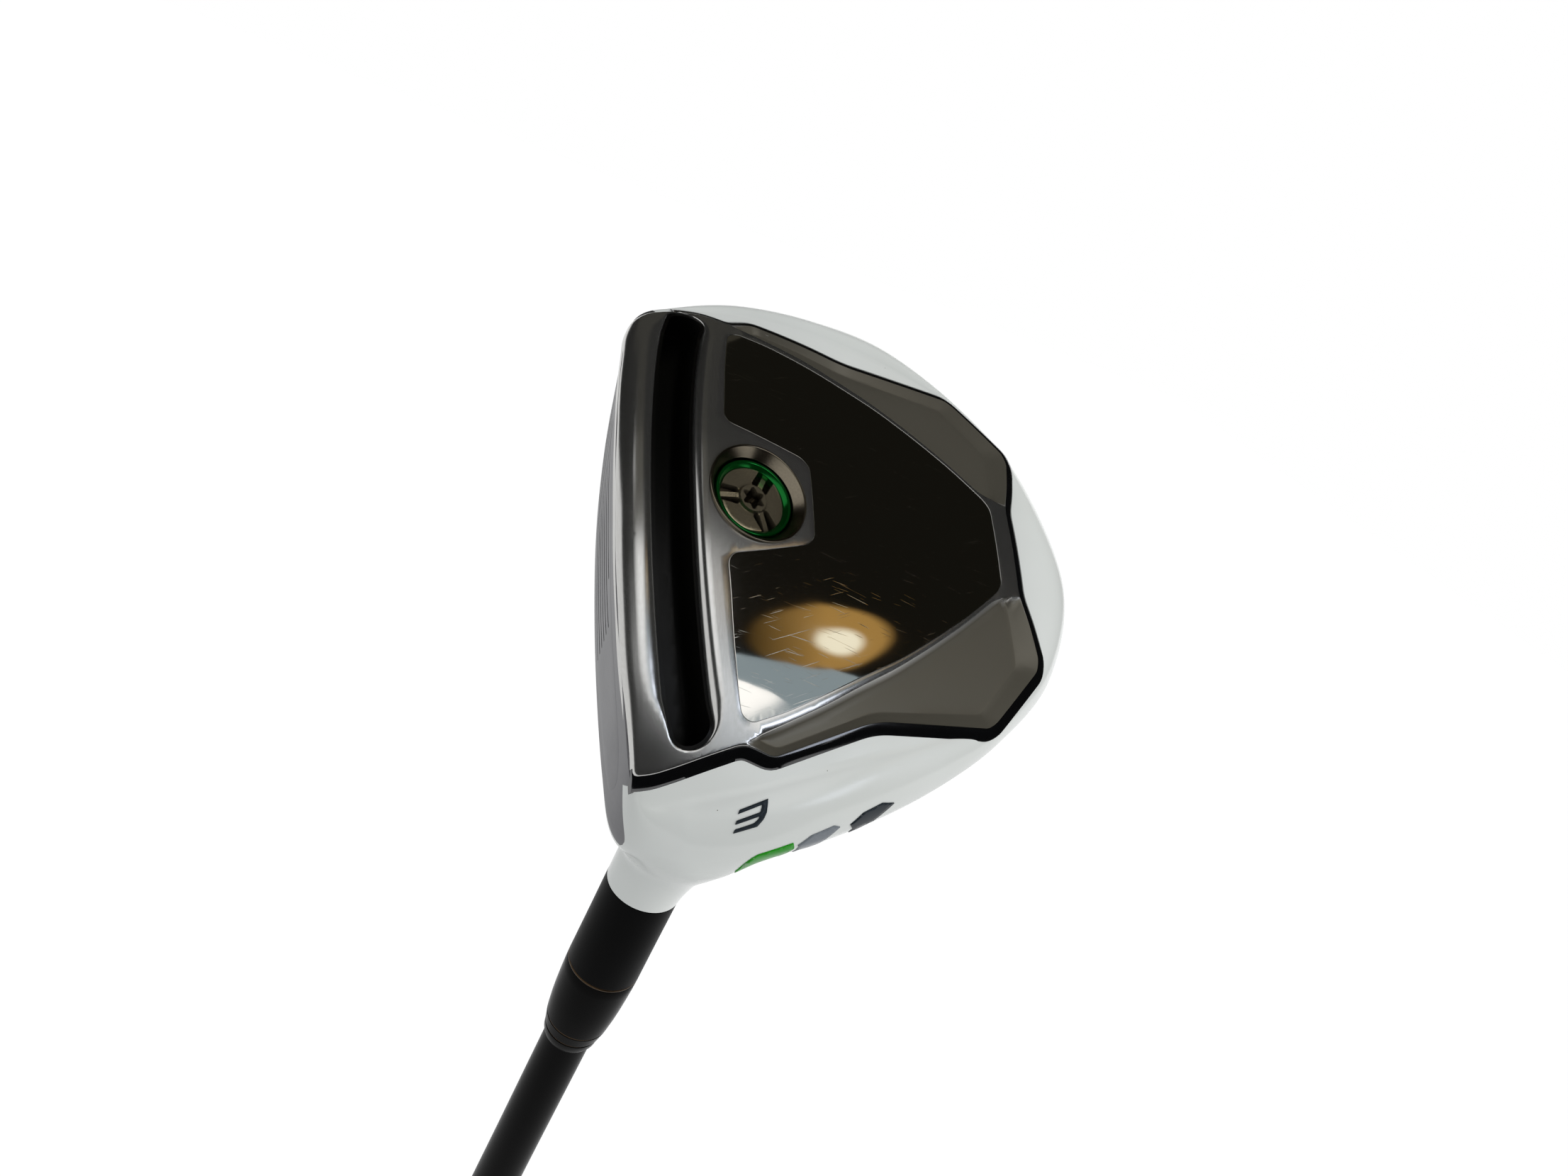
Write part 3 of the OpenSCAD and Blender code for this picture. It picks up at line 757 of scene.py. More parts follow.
def face_steel(colours):
    """Satin maraging steel, blasted: even dull grain, a little shinier in broad worn patches."""
    material, tree = started("face_steel_blasted")
    coords = add(tree, "TexCoord", out="Object")
    grain, steel = blasted(tree, coords, colours)
    wear = add(tree, "TexNoise", {"Scale": per_mm(14.0), "Detail": 4.0}, {"Vector": coords}, "Fac")
    rough = add(tree, "MapRange", {"To Min": 0.38, "To Max": 0.54}, {"Value": wear}, "Result")
    bump = add(tree, "Bump", {"Strength": 0.12, "Distance": RELIEF}, {"Height": grain}, "Normal")
    return surfaced(material, {"Metallic": 1.0}, {"Base Color": steel, "Roughness": rough, "Normal": bump})


def sole_steel(colours):
    """Cast stainless steel with a satin brushed finish, warm grey paint wiped into the wing trays,
    and small turf nicks."""
    material, tree = started("sole_steel_brushed")
    coords = add(tree, "TexCoord", out="Object")
    along = add(tree, "Mapping", {"Rotation": (0.0, HEAD_TURN, 0.0)}, {"Vector": coords}, "Vector")
    drawn = add(tree, "Mapping", {"Scale": (0.06, 1.0, 1.0)}, {"Vector": along}, "Vector")
    lines = add(tree, "TexNoise", {"Scale": per_mm(0.3), "Detail": 3.0}, {"Vector": drawn}, "Fac")
    cloud = add(tree, "TexNoise", {"Scale": per_mm(12.0), "Detail": 3.0}, {"Vector": coords}, "Fac")
    tray = add(tree, "Attribute", {"attribute_name": "tray"}, out="Fac")
    steel = add(tree, "MixRGB", {"Color1": colour_of(colours.steel), "Color2": linear("#B9B8B5")},
                {"Fac": lines}, "Color")
    base = add(tree, "MixRGB", {"Color2": colour_of(colours.tray)}, {"Fac": tray, "Color1": steel}, "Color")
    nick = add(tree, "TexVoronoi", {"Scale": per_mm(2.2)}, {"Vector": coords}, "Distance")
    pit = add(tree, "MapRange", {"From Min": 0.03, "From Max": 0.09}, {"Value": nick}, "Result")
    height = add(tree, "Math", {"operation": "MULTIPLY_ADD", 1: 0.35}, {0: lines, 2: pit}, "Value")
    bump = add(tree, "Bump", {"Strength": 0.03, "Distance": RELIEF}, {"Height": height}, "Normal")
    spread = add(tree, "Math", {"operation": "MULTIPLY_ADD", 1: 0.12, 2: 0.16}, {0: cloud}, "Value")
    rough = add(tree, "Math", {"operation": "MULTIPLY_ADD", 1: 0.16}, {0: tray, 2: spread}, "Value")
    metal = add(tree, "MapRange", {"To Min": 0.96, "To Max": 0.45}, {"Value": tray}, "Result")
    return surfaced(material, {}, {"Base Color": base, "Roughness": rough, "Metallic": metal, "Normal": bump})


def polished_steel(colours):
    """Mirror-polished steel: clean reflections broken by hairline scratches from turf and cleaning."""
    material, tree = started("panel_steel_mirror_polished")
    coords = add(tree, "TexCoord", out="Object")
    marks = None
    for degrees, width in ((74.0, 0.12), (81.0, 0.15), (112.0, 0.14)):
        heading = (0.0, HEAD_TURN, math.radians(degrees))
        turn = add(tree, "Mapping", {"Rotation": heading}, {"Vector": coords}, "Vector")
        aim = add(tree, "Mapping", {"Scale": (0.025, 1.0, 0.025)}, {"Vector": turn}, "Vector")
        hair = add(tree, "TexNoise", {"Scale": per_mm(width), "Detail": 0.0}, {"Vector": aim}, "Fac")
        line = add(tree, "MapRange", {"From Min": 0.8, "From Max": 0.87}, {"Value": hair}, "Result")
        if marks is None:
            marks = line
        else:
            marks = add(tree, "Math", {"operation": "MAXIMUM"}, {0: marks, 1: line}, "Value")
    haze = add(tree, "TexNoise", {"Scale": per_mm(9.0), "Detail": 4.0}, {"Vector": coords}, "Fac")
    clean = add(tree, "MapRange", {"To Min": 0.02, "To Max": 0.06}, {"Value": haze}, "Result")
    rough = add(tree, "Math", {"operation": "MULTIPLY_ADD", 1: 0.22}, {0: marks, 2: clean}, "Value")
    base = add(tree, "MixRGB", {"Color1": colour_of(colours.panel), "Color2": linear("#D9D2C4")},
               {"Fac": marks}, "Color")
    bump = add(tree, "Bump", {"Strength": 0.08, "Distance": RELIEF / 2, "invert": True},
               {"Height": marks}, "Normal")
    return surfaced(material, {"Metallic": 1.0}, {"Base Color": base, "Roughness": rough, "Normal": bump})


def mottled(name, first, second, roughs, grain, strength, settings, shade_attribute=None):
    """Finish with two close tones and a roughness range mixed by fine grain of that size in millimetres,
    and painted shade, a dark brown mixed into the base colour, where the piece's attribute of that name marks
    it."""
    material, tree = started(name)
    coords = add(tree, "TexCoord", out="Object")
    tones = [linear(tone) if isinstance(tone, str) else colour_of(tone) for tone in (first, second)]
    fine = add(tree, "TexNoise", {"Scale": per_mm(grain), "Detail": 3.0}, {"Vector": coords}, "Fac")
    broad = add(tree, "TexNoise", {"Scale": per_mm(grain * 14), "Detail": 3.0}, {"Vector": coords}, "Fac")
    base = add(tree, "MixRGB", {"Color1": tones[0], "Color2": tones[1]}, {"Fac": fine}, "Color")
    # Painted shade: the base colour darkens to dark brown where the named attribute marks the recesses
    if shade_attribute:
        deep = add(tree, "Attribute", {"attribute_name": shade_attribute}, out="Fac")
        base = add(tree, "MixRGB", {"Color2": linear("#2E281E")}, {"Fac": deep, "Color1": base}, "Color")
    rough = add(tree, "MapRange", {"To Min": roughs[0], "To Max": roughs[1]}, {"Value": broad}, "Result")
    bump = add(tree, "Bump", {"Strength": strength, "Distance": RELIEF}, {"Height": fine}, "Normal")
    return surfaced(material, settings, {"Base Color": base, "Roughness": rough, "Normal": bump})


def plain_finishes(colours):
    """The finishes that differ only in their two tones, roughness, grain, bump and shader settings."""
    metal = {"Metallic": 1.0}
    dipped = {"Metallic": 0.85}
    quiet = {"Specular IOR Level": 0.03}
    lacquered = {"Specular IOR Level": 0.15}
    rows = {
        # Black enamel, baked hard: deep, with sharp reflections
        "border": ("border_enamel_baked", colours.black, "#0A0B0D", (0.06, 0.12), 1.2, 0.02,
                   {"Specular IOR Level": 1.0}),
        # Matt black paint: nearly no light comes back out of the slot
        "slot": ("slot_paint_matt", "#030303", "#080705", (0.35, 0.5), 0.5, 0.1, {"Specular IOR Level": 0.2}),
        # Turned steel: a warm grey sheen that follows the cone
        "socket": ("socket_steel_turned", "#6E675A", "#827A6A", (0.2, 0.3), 0.3, 0.06, metal),
        # Anodised aluminium: clear green over a metal sheen
        "green": ("ring_aluminium_anodised", colours.green, "#0A5C22", (0.14, 0.22), 0.3, 0.03, dipped),
        # Blasted steel: soft warm sheen, with painted shade in the slots, the drive and the line round the
        # hub
        "screw": ("screw_steel_blasted", colours.screw, "#8F8670", (0.14, 0.2), 0.25, 0.06, dipped, "recess"),
        # Satin paint: black with hardly any sheen
        "collar": ("collar_paint_satin", "#050505", "#090909", (0.34, 0.46), 0.4, 0.06, quiet),
        # Polished cellulose acetate: smooth black
        "ferrule": ("ferrule_acetate_polished", "#060606", "#0B0A09", (0.2, 0.3), 0.8, 0.03, quiet),
        # Lacquered copper: a dark brown metal line
        "copper": ("trim_copper_lacquered", "#33281C", "#463726", (0.3, 0.4), 0.3, 0.03, metal),
        # Lacquered carbon: smooth black with a faint grain
        "shaft": ("shaft_carbon_lacquered", "#040404", "#090808", (0.24, 0.34), 0.6, 0.03, quiet),
        # Moulded rubber: dull charcoal with fine pores
        "rubber": ("grip_rubber_moulded", colours.rubber, "#1C1C1C", (0.7, 0.85), 0.35, 0.25, {}),
        # Turned brass: yellow metal with a soft sheen
        "brass": ("plug_brass_turned", "#A98448", "#C09A5C", (0.25, 0.35), 0.3, 0.05, metal),
        # Creped paper: dull cream with a rough grain
        "tape": ("tape_paper_creped", "#CFC8B4", "#B9B199", (0.8, 0.9), 0.6, 0.2, {}),
        # Moulded nylon: even dark grey, half dull
        "washer": ("washer_nylon_moulded", "#2A2A2B", "#353536", (0.5, 0.6), 0.4, 0.05, {}),
        # Spring steel: brownish temper colour
        "clip": ("clip_steel_sprung", "#7D7258", "#8E8268", (0.3, 0.4), 0.3, 0.05, metal),
        # Printed ink: flat colour under thin lacquer
        "ink": ("mark_ink_printed", "#20262B", "#2B3238", (0.25, 0.35), 0.5, 0.02, lacquered),
        "green_ink": ("mark_green_printed", "#1E8A12", "#2A9A1C", (0.25, 0.35), 0.5, 0.02, lacquered),
        "grey_ink": ("mark_grey_printed", "#73787D", "#80858A", (0.25, 0.35), 0.5, 0.02, lacquered),
    }
    return {key: mottled(*row) for key, row in rows.items()}


class Shared:
    """What the operators hand on to each other: the head form and the finishes."""

    head = None
    finishes = {}


COLOUR = {"subtype": "COLOR", "size": 3, "min": 0.0, "max": 1.0}


class FairwayFinish(bpy.types.PropertyGroup):
    """Colours of the club's finishes."""

    paint: bpy.props.FloatVectorProperty(
        name="Paint", description="White enamel of the head", default=linear("#E3E5E1")[:3], **COLOUR)
    face: bpy.props.FloatVectorProperty(
        name="Face", description="Bare steel of the striking face", default=linear("#747476")[:3], **COLOUR)
    steel: bpy.props.FloatVectorProperty(
        name="Sole steel", description="Brushed steel of the sole", default=linear("#C9C9C7")[:3], **COLOUR)
    tray: bpy.props.FloatVectorProperty(
        name="Trays", description="Warm grey in the wing trays", default=linear("#625E53")[:3], **COLOUR)
    panel: bpy.props.FloatVectorProperty(
        name="Panel", description="Mirror-polished steel", default=linear("#D8D5CF")[:3], **COLOUR)
    black: bpy.props.FloatVectorProperty(
        name="Border", description="Black enamel round the plate", default=linear("#060607")[:3], **COLOUR)
    green: bpy.props.FloatVectorProperty(
        name="Ring", description="Anodised ring of the weight", default=linear("#0B6E28")[:3], **COLOUR)
    screw: bpy.props.FloatVectorProperty(
        name="Screw", description="Steel of the weight screw", default=linear("#B8AB8E")[:3], **COLOUR)
    rubber: bpy.props.FloatVectorProperty(
        name="Grip", description="Rubber of the grip", default=linear("#141414")[:3], **COLOUR)
    floor: bpy.props.FloatVectorProperty(
        name="Floor", description="Pale studio floor", default=linear("#F2F2F2")[:3], **COLOUR)


class FairwaySizes(bpy.types.PropertyGroup):
    """Sizes of the details, in millimetres."""

    neck_flare: bpy.props.FloatProperty(
        name="Neck flare", description="Radius gained towards the head", default=5.2, min=2.0, max=8.0)
    front_lip: bpy.props.FloatProperty(
        name="Front lip", description="Width of the roll in front of the slot", default=3.3, min=0.5, max=4.0)
    back_lip: bpy.props.FloatProperty(
        name="Back lip", description="Width of the roll behind the slot", default=1.3, min=0.3, max=2.0)
    lip_drop: bpy.props.FloatProperty(
        name="Lip drop", description="How far the slot's lips roll down", default=1.4, min=0.3, max=1.6)
    leading_roll: bpy.props.FloatProperty(
        name="Leading roll", description="Width of the leading edge's roll", default=0.8, min=0.4, max=3.0)
    edge_roll: bpy.props.FloatProperty(
        name="Edge roll", description="Rounding of the plate's other edges", default=0.35, min=0.1, max=0.8)
    grip_texture: bpy.props.FloatProperty(
        name="Grip texture", description="Depth of the diamond pattern", default=0.22, min=0.0, max=0.5)


def club(context):
    """Sizes and colours in use."""
    return context.scene.fairway_sizes, context.scene.fairway_finish


class FAIRWAY_OT_finishes(bpy.types.Operator):
    """Mix the finishes that the pieces share"""

    bl_idname = "fairway.finishes"
    bl_label = "Finishes"

    hidden = {"tip_plug": "brass", "grip_tape": "tape", "weight_washer": "washer", "weight_clip": "clip"}

    def execute(self, context):
        _, colours = club(context)
        Shared.finishes = plain_finishes(colours)
        Shared.finishes["paint"] = white_enamel(colours)
        Shared.finishes["face"] = face_steel(colours)
        Shared.finishes["sole"] = sole_steel(colours)
        Shared.finishes["panel"] = polished_steel(colours)
        for node, key in self.hidden.items():
            dress(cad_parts[node], key)
        return {"FINISHED"}


class FAIRWAY_OT_head(bpy.types.Operator):
    """Loft the white body with its neck, and the crown"""

    bl_idname = "fairway.head"
    bl_label = "Body, neck and crown"

    wall = 1.1
    cut_at = 0.9
    far_off = 99.0
    ledge_reach = 0.4
    ledge_least = 0.05
    ledge_lap = 0.5
    ledge_rings = (1.0, 0.75, 0.5, 0.25)
    slot_clear = 0.8
    front_depth = 12.0
    insert_lap = 1.2
    painted = -9.0
    # Masked-off face: its heel and toe lines in stations from the middle, and how the heel line sweeps
    heel_mask = 3.1
    toe_mask = 3.45
    sweep = 0.6
    sweep_rings = 21
    sweep_power = 1.6
    foot_turn = 0.22
    foot_rings = 9.0
    station_mm = 9.0
    neck_around = 96
    neck_steps = 34
    bore_foot = 1.2
    mouth_step = 0.4

    def execute(self, context):
        sizes, _ = club(context)
        form = HeadForm(sizes.neck_flare)
        Shared.head = form
        self.body(form)
        self.crown(form)
        return {"FINISHED"}

    def clear_of_neck(self, gap, faces):
        """Faces outside the neck, which covers the rest."""
        return [f for f in faces if max(gap[i] for i in f) > self.cut_at]

    def sole_ledge(self, form):
        """Rings that carry the body in under the edge of the sole plate."""
        outline = plate_loop(1.0)
        slot = slot_loop(1.0)
        shares = np.linspace(0.0, self.ledge_reach, 120)
        ledge = []
        for foot in form.points[:, 0, :2]:
            plan = foot + (CENTRE - foot) * shares[:, None]
            deep = (outside_by(plan, outline) < -self.ledge_lap) | (outside_by(plan, slot) < self.slot_clear)
            share = shares[np.argmax(deep)] if deep.any() else self.ledge_least
            spots = np.array([foot + (CENTRE - foot) * share * part for part in self.ledge_rings])
            ledge.append(on_sole(spots, PLATE_PROUD))
        return np.array(ledge)

    def body(self, form):
        """White body from under the plate to the equator, with the neck as its second shell."""
        ledge = self.sole_ledge(form)
        under = ledge.shape[1]
        low = form.split + 1
        grid = np.concatenate((ledge, form.points[:, :low, :]), axis=1)
        count = grid.shape[1]
        normals = form.grid_normals(grid)
        normals[:, under:, :] = form.normals[:, :low, :]
        gap = np.concatenate((np.full(ledge.shape[:2], self.far_off), form.neck_gap[:, :low]), axis=1).ravel()
        flat = grid.reshape(-1, 3)
        insert = rounded(FACE_INSERT, 1.0)
        covered = (flat[:, 1] < self.front_depth) & (outside_by(flat[:, (0, 2)], insert) < -self.insert_lap)
        faces = self.clear_of_neck(gap, form.grid_faces(count, 0))
        faces = [f for f in faces if not all(covered[i] for i in f)]
        points, facing, solid, used = shell(flat, normals.reshape(-1, 3), faces, self.wall)
        bare = self.bare_steel(form, count, under).ravel()[used]
        neck_points, neck_normals, neck_faces = self.neck(form)
        solid += [tuple(i + len(points) for i in f) for f in neck_faces]
        obj = mesh_piece("white_body", to_row(np.vstack((points, neck_points))), solid)
        note_points(obj, "bare_steel", np.concatenate((bare, bare, np.full(len(neck_points), self.painted))))
        fix_normals(obj, np.vstack((facing, neck_normals)))
        settle(obj, "club", "head_body", "paint")

    def bare_steel(self, form, count, under):
        """Millimetres inside the masked-off face, by place round the head and up the skin."""
        ahead = np.where(form.u > len(STATIONS) / 2, form.u - len(STATIONS), form.u)[:, None]
        ring = np.maximum(np.arange(count) - under, 0)[None, :]
        below = np.clip(form.skirt_rings - ring, 0, self.sweep_rings) / self.sweep_rings
        heel_line = ahead + self.heel_mask - self.sweep * below ** self.sweep_power
        heel_line = heel_line + self.foot_turn * np.clip(1 - ring / self.foot_rings, 0, 1)
        toe_line = self.toe_mask - ahead
        topline = form.skirt_rings + 1.0 - ring
        return np.minimum(np.minimum(heel_line, toe_line) * self.station_mm, topline)

    def neck(self, form):
        """Neck as a closed tube round the shaft bore."""
        radial = form.neck_radials(self.neck_around)
        rings = form.neck_rings(radial, self.neck_steps)
        deep = NECK_END - BORE_DEPTH * TO_GRIP
        mouth = NECK_END - COLLAR_LAP * TO_GRIP
        bore = [deep + (BORE_RADIUS + self.bore_foot) * radial, deep + BORE_RADIUS * radial,
                mouth + BORE_RADIUS * radial, mouth + (NECK_RADIUS - self.mouth_step) * radial]
        grid = np.concatenate((rings, bore))
        round_way = np.roll(rings, -1, axis=1) - np.roll(rings, 1, axis=1)
        outer = np.cross(np.gradient(rings, axis=0), round_way)
        outer /= np.linalg.norm(outer, axis=2)[..., None]
        outer *= np.sign((outer * radial[None]).sum(2))[..., None]
        rest = np.stack((radial, -radial, -radial, np.broadcast_to(TO_GRIP, radial.shape)))
        normals = np.concatenate((outer, rest))
        faces = ring_faces(len(grid), self.neck_around, True)
        points = grid.reshape(-1, 3)
        a, b, c = (points[i] for i in faces[0][:3])
        if np.cross(b - a, c - a) @ radial[0] < 0:
            faces = [f[::-1] for f in faces]
        return points, normals.reshape(-1, 3), faces

    def crown(self, form):
        """Crown shell from the equator to its top."""
        faces = self.clear_of_neck(form.neck_gap.ravel(), form.grid_faces(form.count, form.split))
        faces.append(tuple(k * form.count + form.count - 1 for k in range(form.columns)))
        skin = form.points.reshape(-1, 3)
        points, facing, solid, _ = shell(skin, form.normals.reshape(-1, 3), faces, self.wall)
        obj = mesh_piece("crown_skin", to_row(points), solid)
        note_points(obj, "bare_steel", np.full(len(points), self.painted))
        fix_normals(obj, facing)
        settle(obj, "club", "crown", "paint")


class FAIRWAY_OT_marks(bpy.types.Operator):
    """Print the number and the plain colour marks on the heel"""

    bl_idname = "fairway.marks"
    bl_label = "Printed marks"

    proud = 0.13
    sunk = 0.12
    # Rough millimetres for one station round the head and one ring up its skin
    stretch = np.array((-13.0, 0.5))
    # The number's outline: shares of its width, and rings
    number = (
        (-0.01, 6.4), (0.05, 4.8), (1.06, 3.1), (1.02, 8.0), (0.93, 10.6), (0.74, 13.0), (-0.13, 14.1),
        (-0.08, 12.5), (0.6, 11.4), (0.74, 10.2), (0.78, 9.1), (-0.1, 10.5), (-0.05, 8.9), (0.8, 7.5),
        (0.85, 4.9),
    )
    number_left = 15.28
    number_width = 0.33
    # Each colour mark's ink and outline: stations and rings
    slants = {
        "green_mark": ("green_ink", (
            (15.05, 31.5), (14.9, 27.2), (14.55, 25.0), (14.5, 29.0), (14.65, 33.5), (14.95, 35.0))),
        "grey_mark": ("grey_ink", (
            (14.48, 27.5), (14.38, 23.5), (14.16, 22.0), (14.08, 24.0), (14.2, 30.5), (14.4, 32.0))),
        "black_mark": ("ink", (
            (13.96, 25.0), (13.86, 20.5), (13.66, 19.0), (13.5, 22.0), (13.66, 29.0), (13.86, 30.5))),
    }

    def execute(self, context):
        three = [(self.number_left - self.number_width * a, ring) for a, ring in self.number]
        self.patch("number_mark", three, "ink")
        for name, (ink, outline) in self.slants.items():
            self.patch(name, outline, ink)
        return {"FINISHED"}

    def patch(self, name, outline, ink):
        """Thin closed patch that lies on the head's skin, from places round the head and rings up it."""
        loop = even(np.array(outline) * self.stretch, 0.25)
        plan, faces = triangles([loop], 0.6, lambda p: inside(p, loop))
        spots, facing = self.skin(Shared.head, plan / self.stretch)
        points, solid = between(spots + self.proud * facing, spots - self.sunk * facing, faces)
        settle(outward(mesh_piece(name, to_row(points), solid)), "club", None, ink)

    def skin(self, form, place):
        """Skin points and normals at places between the grid's columns and rings."""
        column = place[:, 0] * form.columns / len(STATIONS)
        first = np.floor(column).astype(int)
        ring = np.floor(place[:, 1]).astype(int)
        s = (column - first)[:, None]
        t = (place[:, 1] - ring)[:, None]
        mixed = []
        for grid in (form.points, form.normals):
            low = grid[first, ring] * (1 - s) + grid[(first + 1) % form.columns, ring] * s
            high = grid[first, ring + 1] * (1 - s) + grid[(first + 1) % form.columns, ring + 1] * s
            mixed.append(low * (1 - t) + high * t)
        return mixed[0], mixed[1] / np.linalg.norm(mixed[1], axis=1)[:, None]


class FAIRWAY_OT_face(bpy.types.Operator):
    """Fit the scored face insert"""

    bl_idname = "fairway.face"
    bl_label = "Face insert"

    lines = 7
    line_half = 22.0
    lowest_shorter = 7.0
    line_width = 0.6
    line_round = 0.29
    line_depth = 0.4
    line_slope = 0.12
    field_low = 12.6
    field_height = 18.0
    proud = 0.04
    edge_fall = 0.06
    edge_width = 0.4
    thick = 1.2

    def execute(self, context):
        form = Shared.head
        outline = rounded(FACE_INSERT, 0.6)
        scores = [self.score(i) for i in range(self.lines)]
        loops = [outline, grown(outline, -0.15), grown(outline, -self.edge_width)]
        for score in scores:
            loops += [score, grown(score, -self.line_slope)]
        plan, faces = triangles(loops, 1.6, lambda p: inside(p, outline))
        front = np.array([self.skin_y(form, x, z) for x, z in plan])
        sunk = np.full(len(plan), -self.proud)
        edge = -outside_by(plan, outline)
        sunk += self.edge_fall * np.clip(1 - edge / self.edge_width, 0, 1) ** 2
        for score in scores:
            sunk += self.line_depth * np.clip(-outside_by(plan, score) / self.line_slope, 0, 1)
        outer = np.column_stack((plan[:, 0], front + sunk, plan[:, 1]))
        inner = np.column_stack((plan[:, 0], front + self.thick, plan[:, 1]))
        points, solid = between(outer, inner, faces)
        obj = mesh_piece("face_insert", to_row(points), solid)
        smooth_by(outward(obj), 40.0)
        settle(obj, "club", "face_plate", "face")
        return {"FINISHED"}

    def score(self, i):
        """Outline of one score line, counted from the lowest, which is shorter."""
        z = self.field_low + self.field_height / self.lines * (i + 0.5) + self.line_width / 2
        half = self.line_half if i else self.line_half - self.lowest_shorter
        low = z - self.line_width / 2
        high = z + self.line_width / 2
        corners = ((-half, low), (half, low), (half, high), (-half, high))
        return rounded([corner + (self.line_round,) for corner in corners], 0.35)

    def skin_y(self, form, x, z):
        """Depth of the head's front skin behind a point of the face."""
        spot = form.tree.ray_cast(Vector((x, -40.0, z)), Vector((0.0, 1.0, 0.0)))[0]
        if spot is None:
            raise RuntimeError("the face insert reaches past the head")
        return spot.y


class FAIRWAY_OT_sole_plate(bpy.types.Operator):
    """Model the brushed sole plate with its slot lips and wing trays"""

    bl_idname = "fairway.sole_plate"
    bl_label = "Sole plate"

    fine = 0.1
    seat_roll = 0.05
    port_lap = 0.1
    edge_loops = (0.08, 0.2, 0.4, 0.9, 1.5, 2.1)
    lip_loops = (0.08, 0.25, 0.5, 0.85, 1.3, 2.0, 2.7, 3.3)
    # The leading roll comes in towards the front, and the front lip runs out towards the slot's ends
    leading_drop = 0.9
    leading_from = 6.0
    leading_run = 4.0
    lip_blend = 1.5
    lip_half = 39.0
    lip_run = 8.0
    tray_edge = 0.3
    least_wall = 0.15

    def execute(self, context):
        sizes, _ = club(context)
        outline = plate_loop(PLATE_STEP)
        slot = slot_loop(PLATE_STEP)
        seat = inlay_loop(PLATE_STEP)
        port_radius = PORT_RADIUS - self.port_lap
        floors = [rounded(TRAY_FLOOR, PLATE_STEP)]
        brims = [rounded(TRAY_BRIM, PLATE_STEP)]
        floors.append(flipped(floors[0]))
        brims.append(flipped(brims[0]))
        loops = [outline, slot, seat, circle_loop(PORT, port_radius, 120)]
        loops += [grown(outline, -d) for d in self.edge_loops]
        loops += [grown(slot, d) for d in self.lip_loops]
        loops += [grown(seat, d) for d in (0.02, self.seat_roll)]
        for floor, brim in zip(floors, brims):
            loops += [grown(floor, -self.fine), grown(floor, self.fine)]
            loops += [grown(brim, -self.fine), grown(brim, self.fine)]

        def keep(p):
            held = inside(p, outline) & ~inside(p, slot) & ~inside(p, seat)
            return held & (np.linalg.norm(p - PORT, axis=1) > port_radius)

        plan, faces = triangles(loops, 1.2, keep)
        depth, tray = self.depth(plan, sizes, outline, slot, seat, floors, brims)
        surface = sole_z(plan[:, 0], plan[:, 1])
        points, solid = slab(plan, faces, surface + depth, surface + PLATE_BACK)
        obj = mesh_piece("sole_casting", to_row(points), solid)
        note_points(obj, "tray", np.concatenate((tray, tray)))
        smooth_by(outward(obj), 42.0)
        settle(obj, "club", "sole_plate", "sole")
        return {"FINISHED"}

    def depth(self, plan, sizes, outline, slot, seat, floors, brims):
        """How far each plan point lies below the sole surface, and where the trays are."""
        x, y = plan.T
        edge = np.maximum(0.0, -outside_by(plan, outline))
        front = np.clip((self.leading_from - y) / self.leading_run, 0, 1)
        width = sizes.edge_roll + (sizes.leading_roll - sizes.edge_roll) * front
        drop = sizes.edge_roll + (self.leading_drop - sizes.edge_roll) * front
        depth = self.roll(edge, width, drop)
        lip = np.maximum(0.0, outside_by(plan, slot))
        middle = SLOT_FRONT + SLOT_BOW * x ** 2
        ahead = np.clip((middle - y) / self.lip_blend, 0, 1)
        ahead = ahead * np.clip((self.lip_half - np.abs(x)) / self.lip_run, 0, 1)
        width = sizes.back_lip + (sizes.front_lip - sizes.back_lip) * ahead
        ends = lip_share(x)
        depth = np.maximum(depth, self.roll(lip, width * ends, sizes.lip_drop * ends))
        rim = np.maximum(0.0, outside_by(plan, seat))
        depth = np.maximum(depth, self.roll(rim, self.seat_roll, self.seat_roll))
        tray = np.zeros(len(plan))
        for floor, brim in zip(floors, brims):
            below = outside_by(plan, floor)
            inner = -outside_by(plan, brim)
            slope = inner / np.maximum(inner + np.maximum(below, 0.0), 1e-6)
            sunk = TRAY_DEPTH * np.where(below <= 0, 1.0, np.clip(slope, 0, 1))
            sunk[inner <= 0] = 0.0
            depth = np.maximum(depth, sunk)
            tray = np.maximum(tray, np.clip(inner / self.tray_edge, 0, 1))
        return np.minimum(depth, PLATE_BACK - self.least_wall), tray

    def roll(self, away, width, drop):
        """Quarter-round fall towards an edge."""
        share = np.clip(1 - away / width, 0, 1)
        return drop * (1 - np.sqrt(1 - share * share))


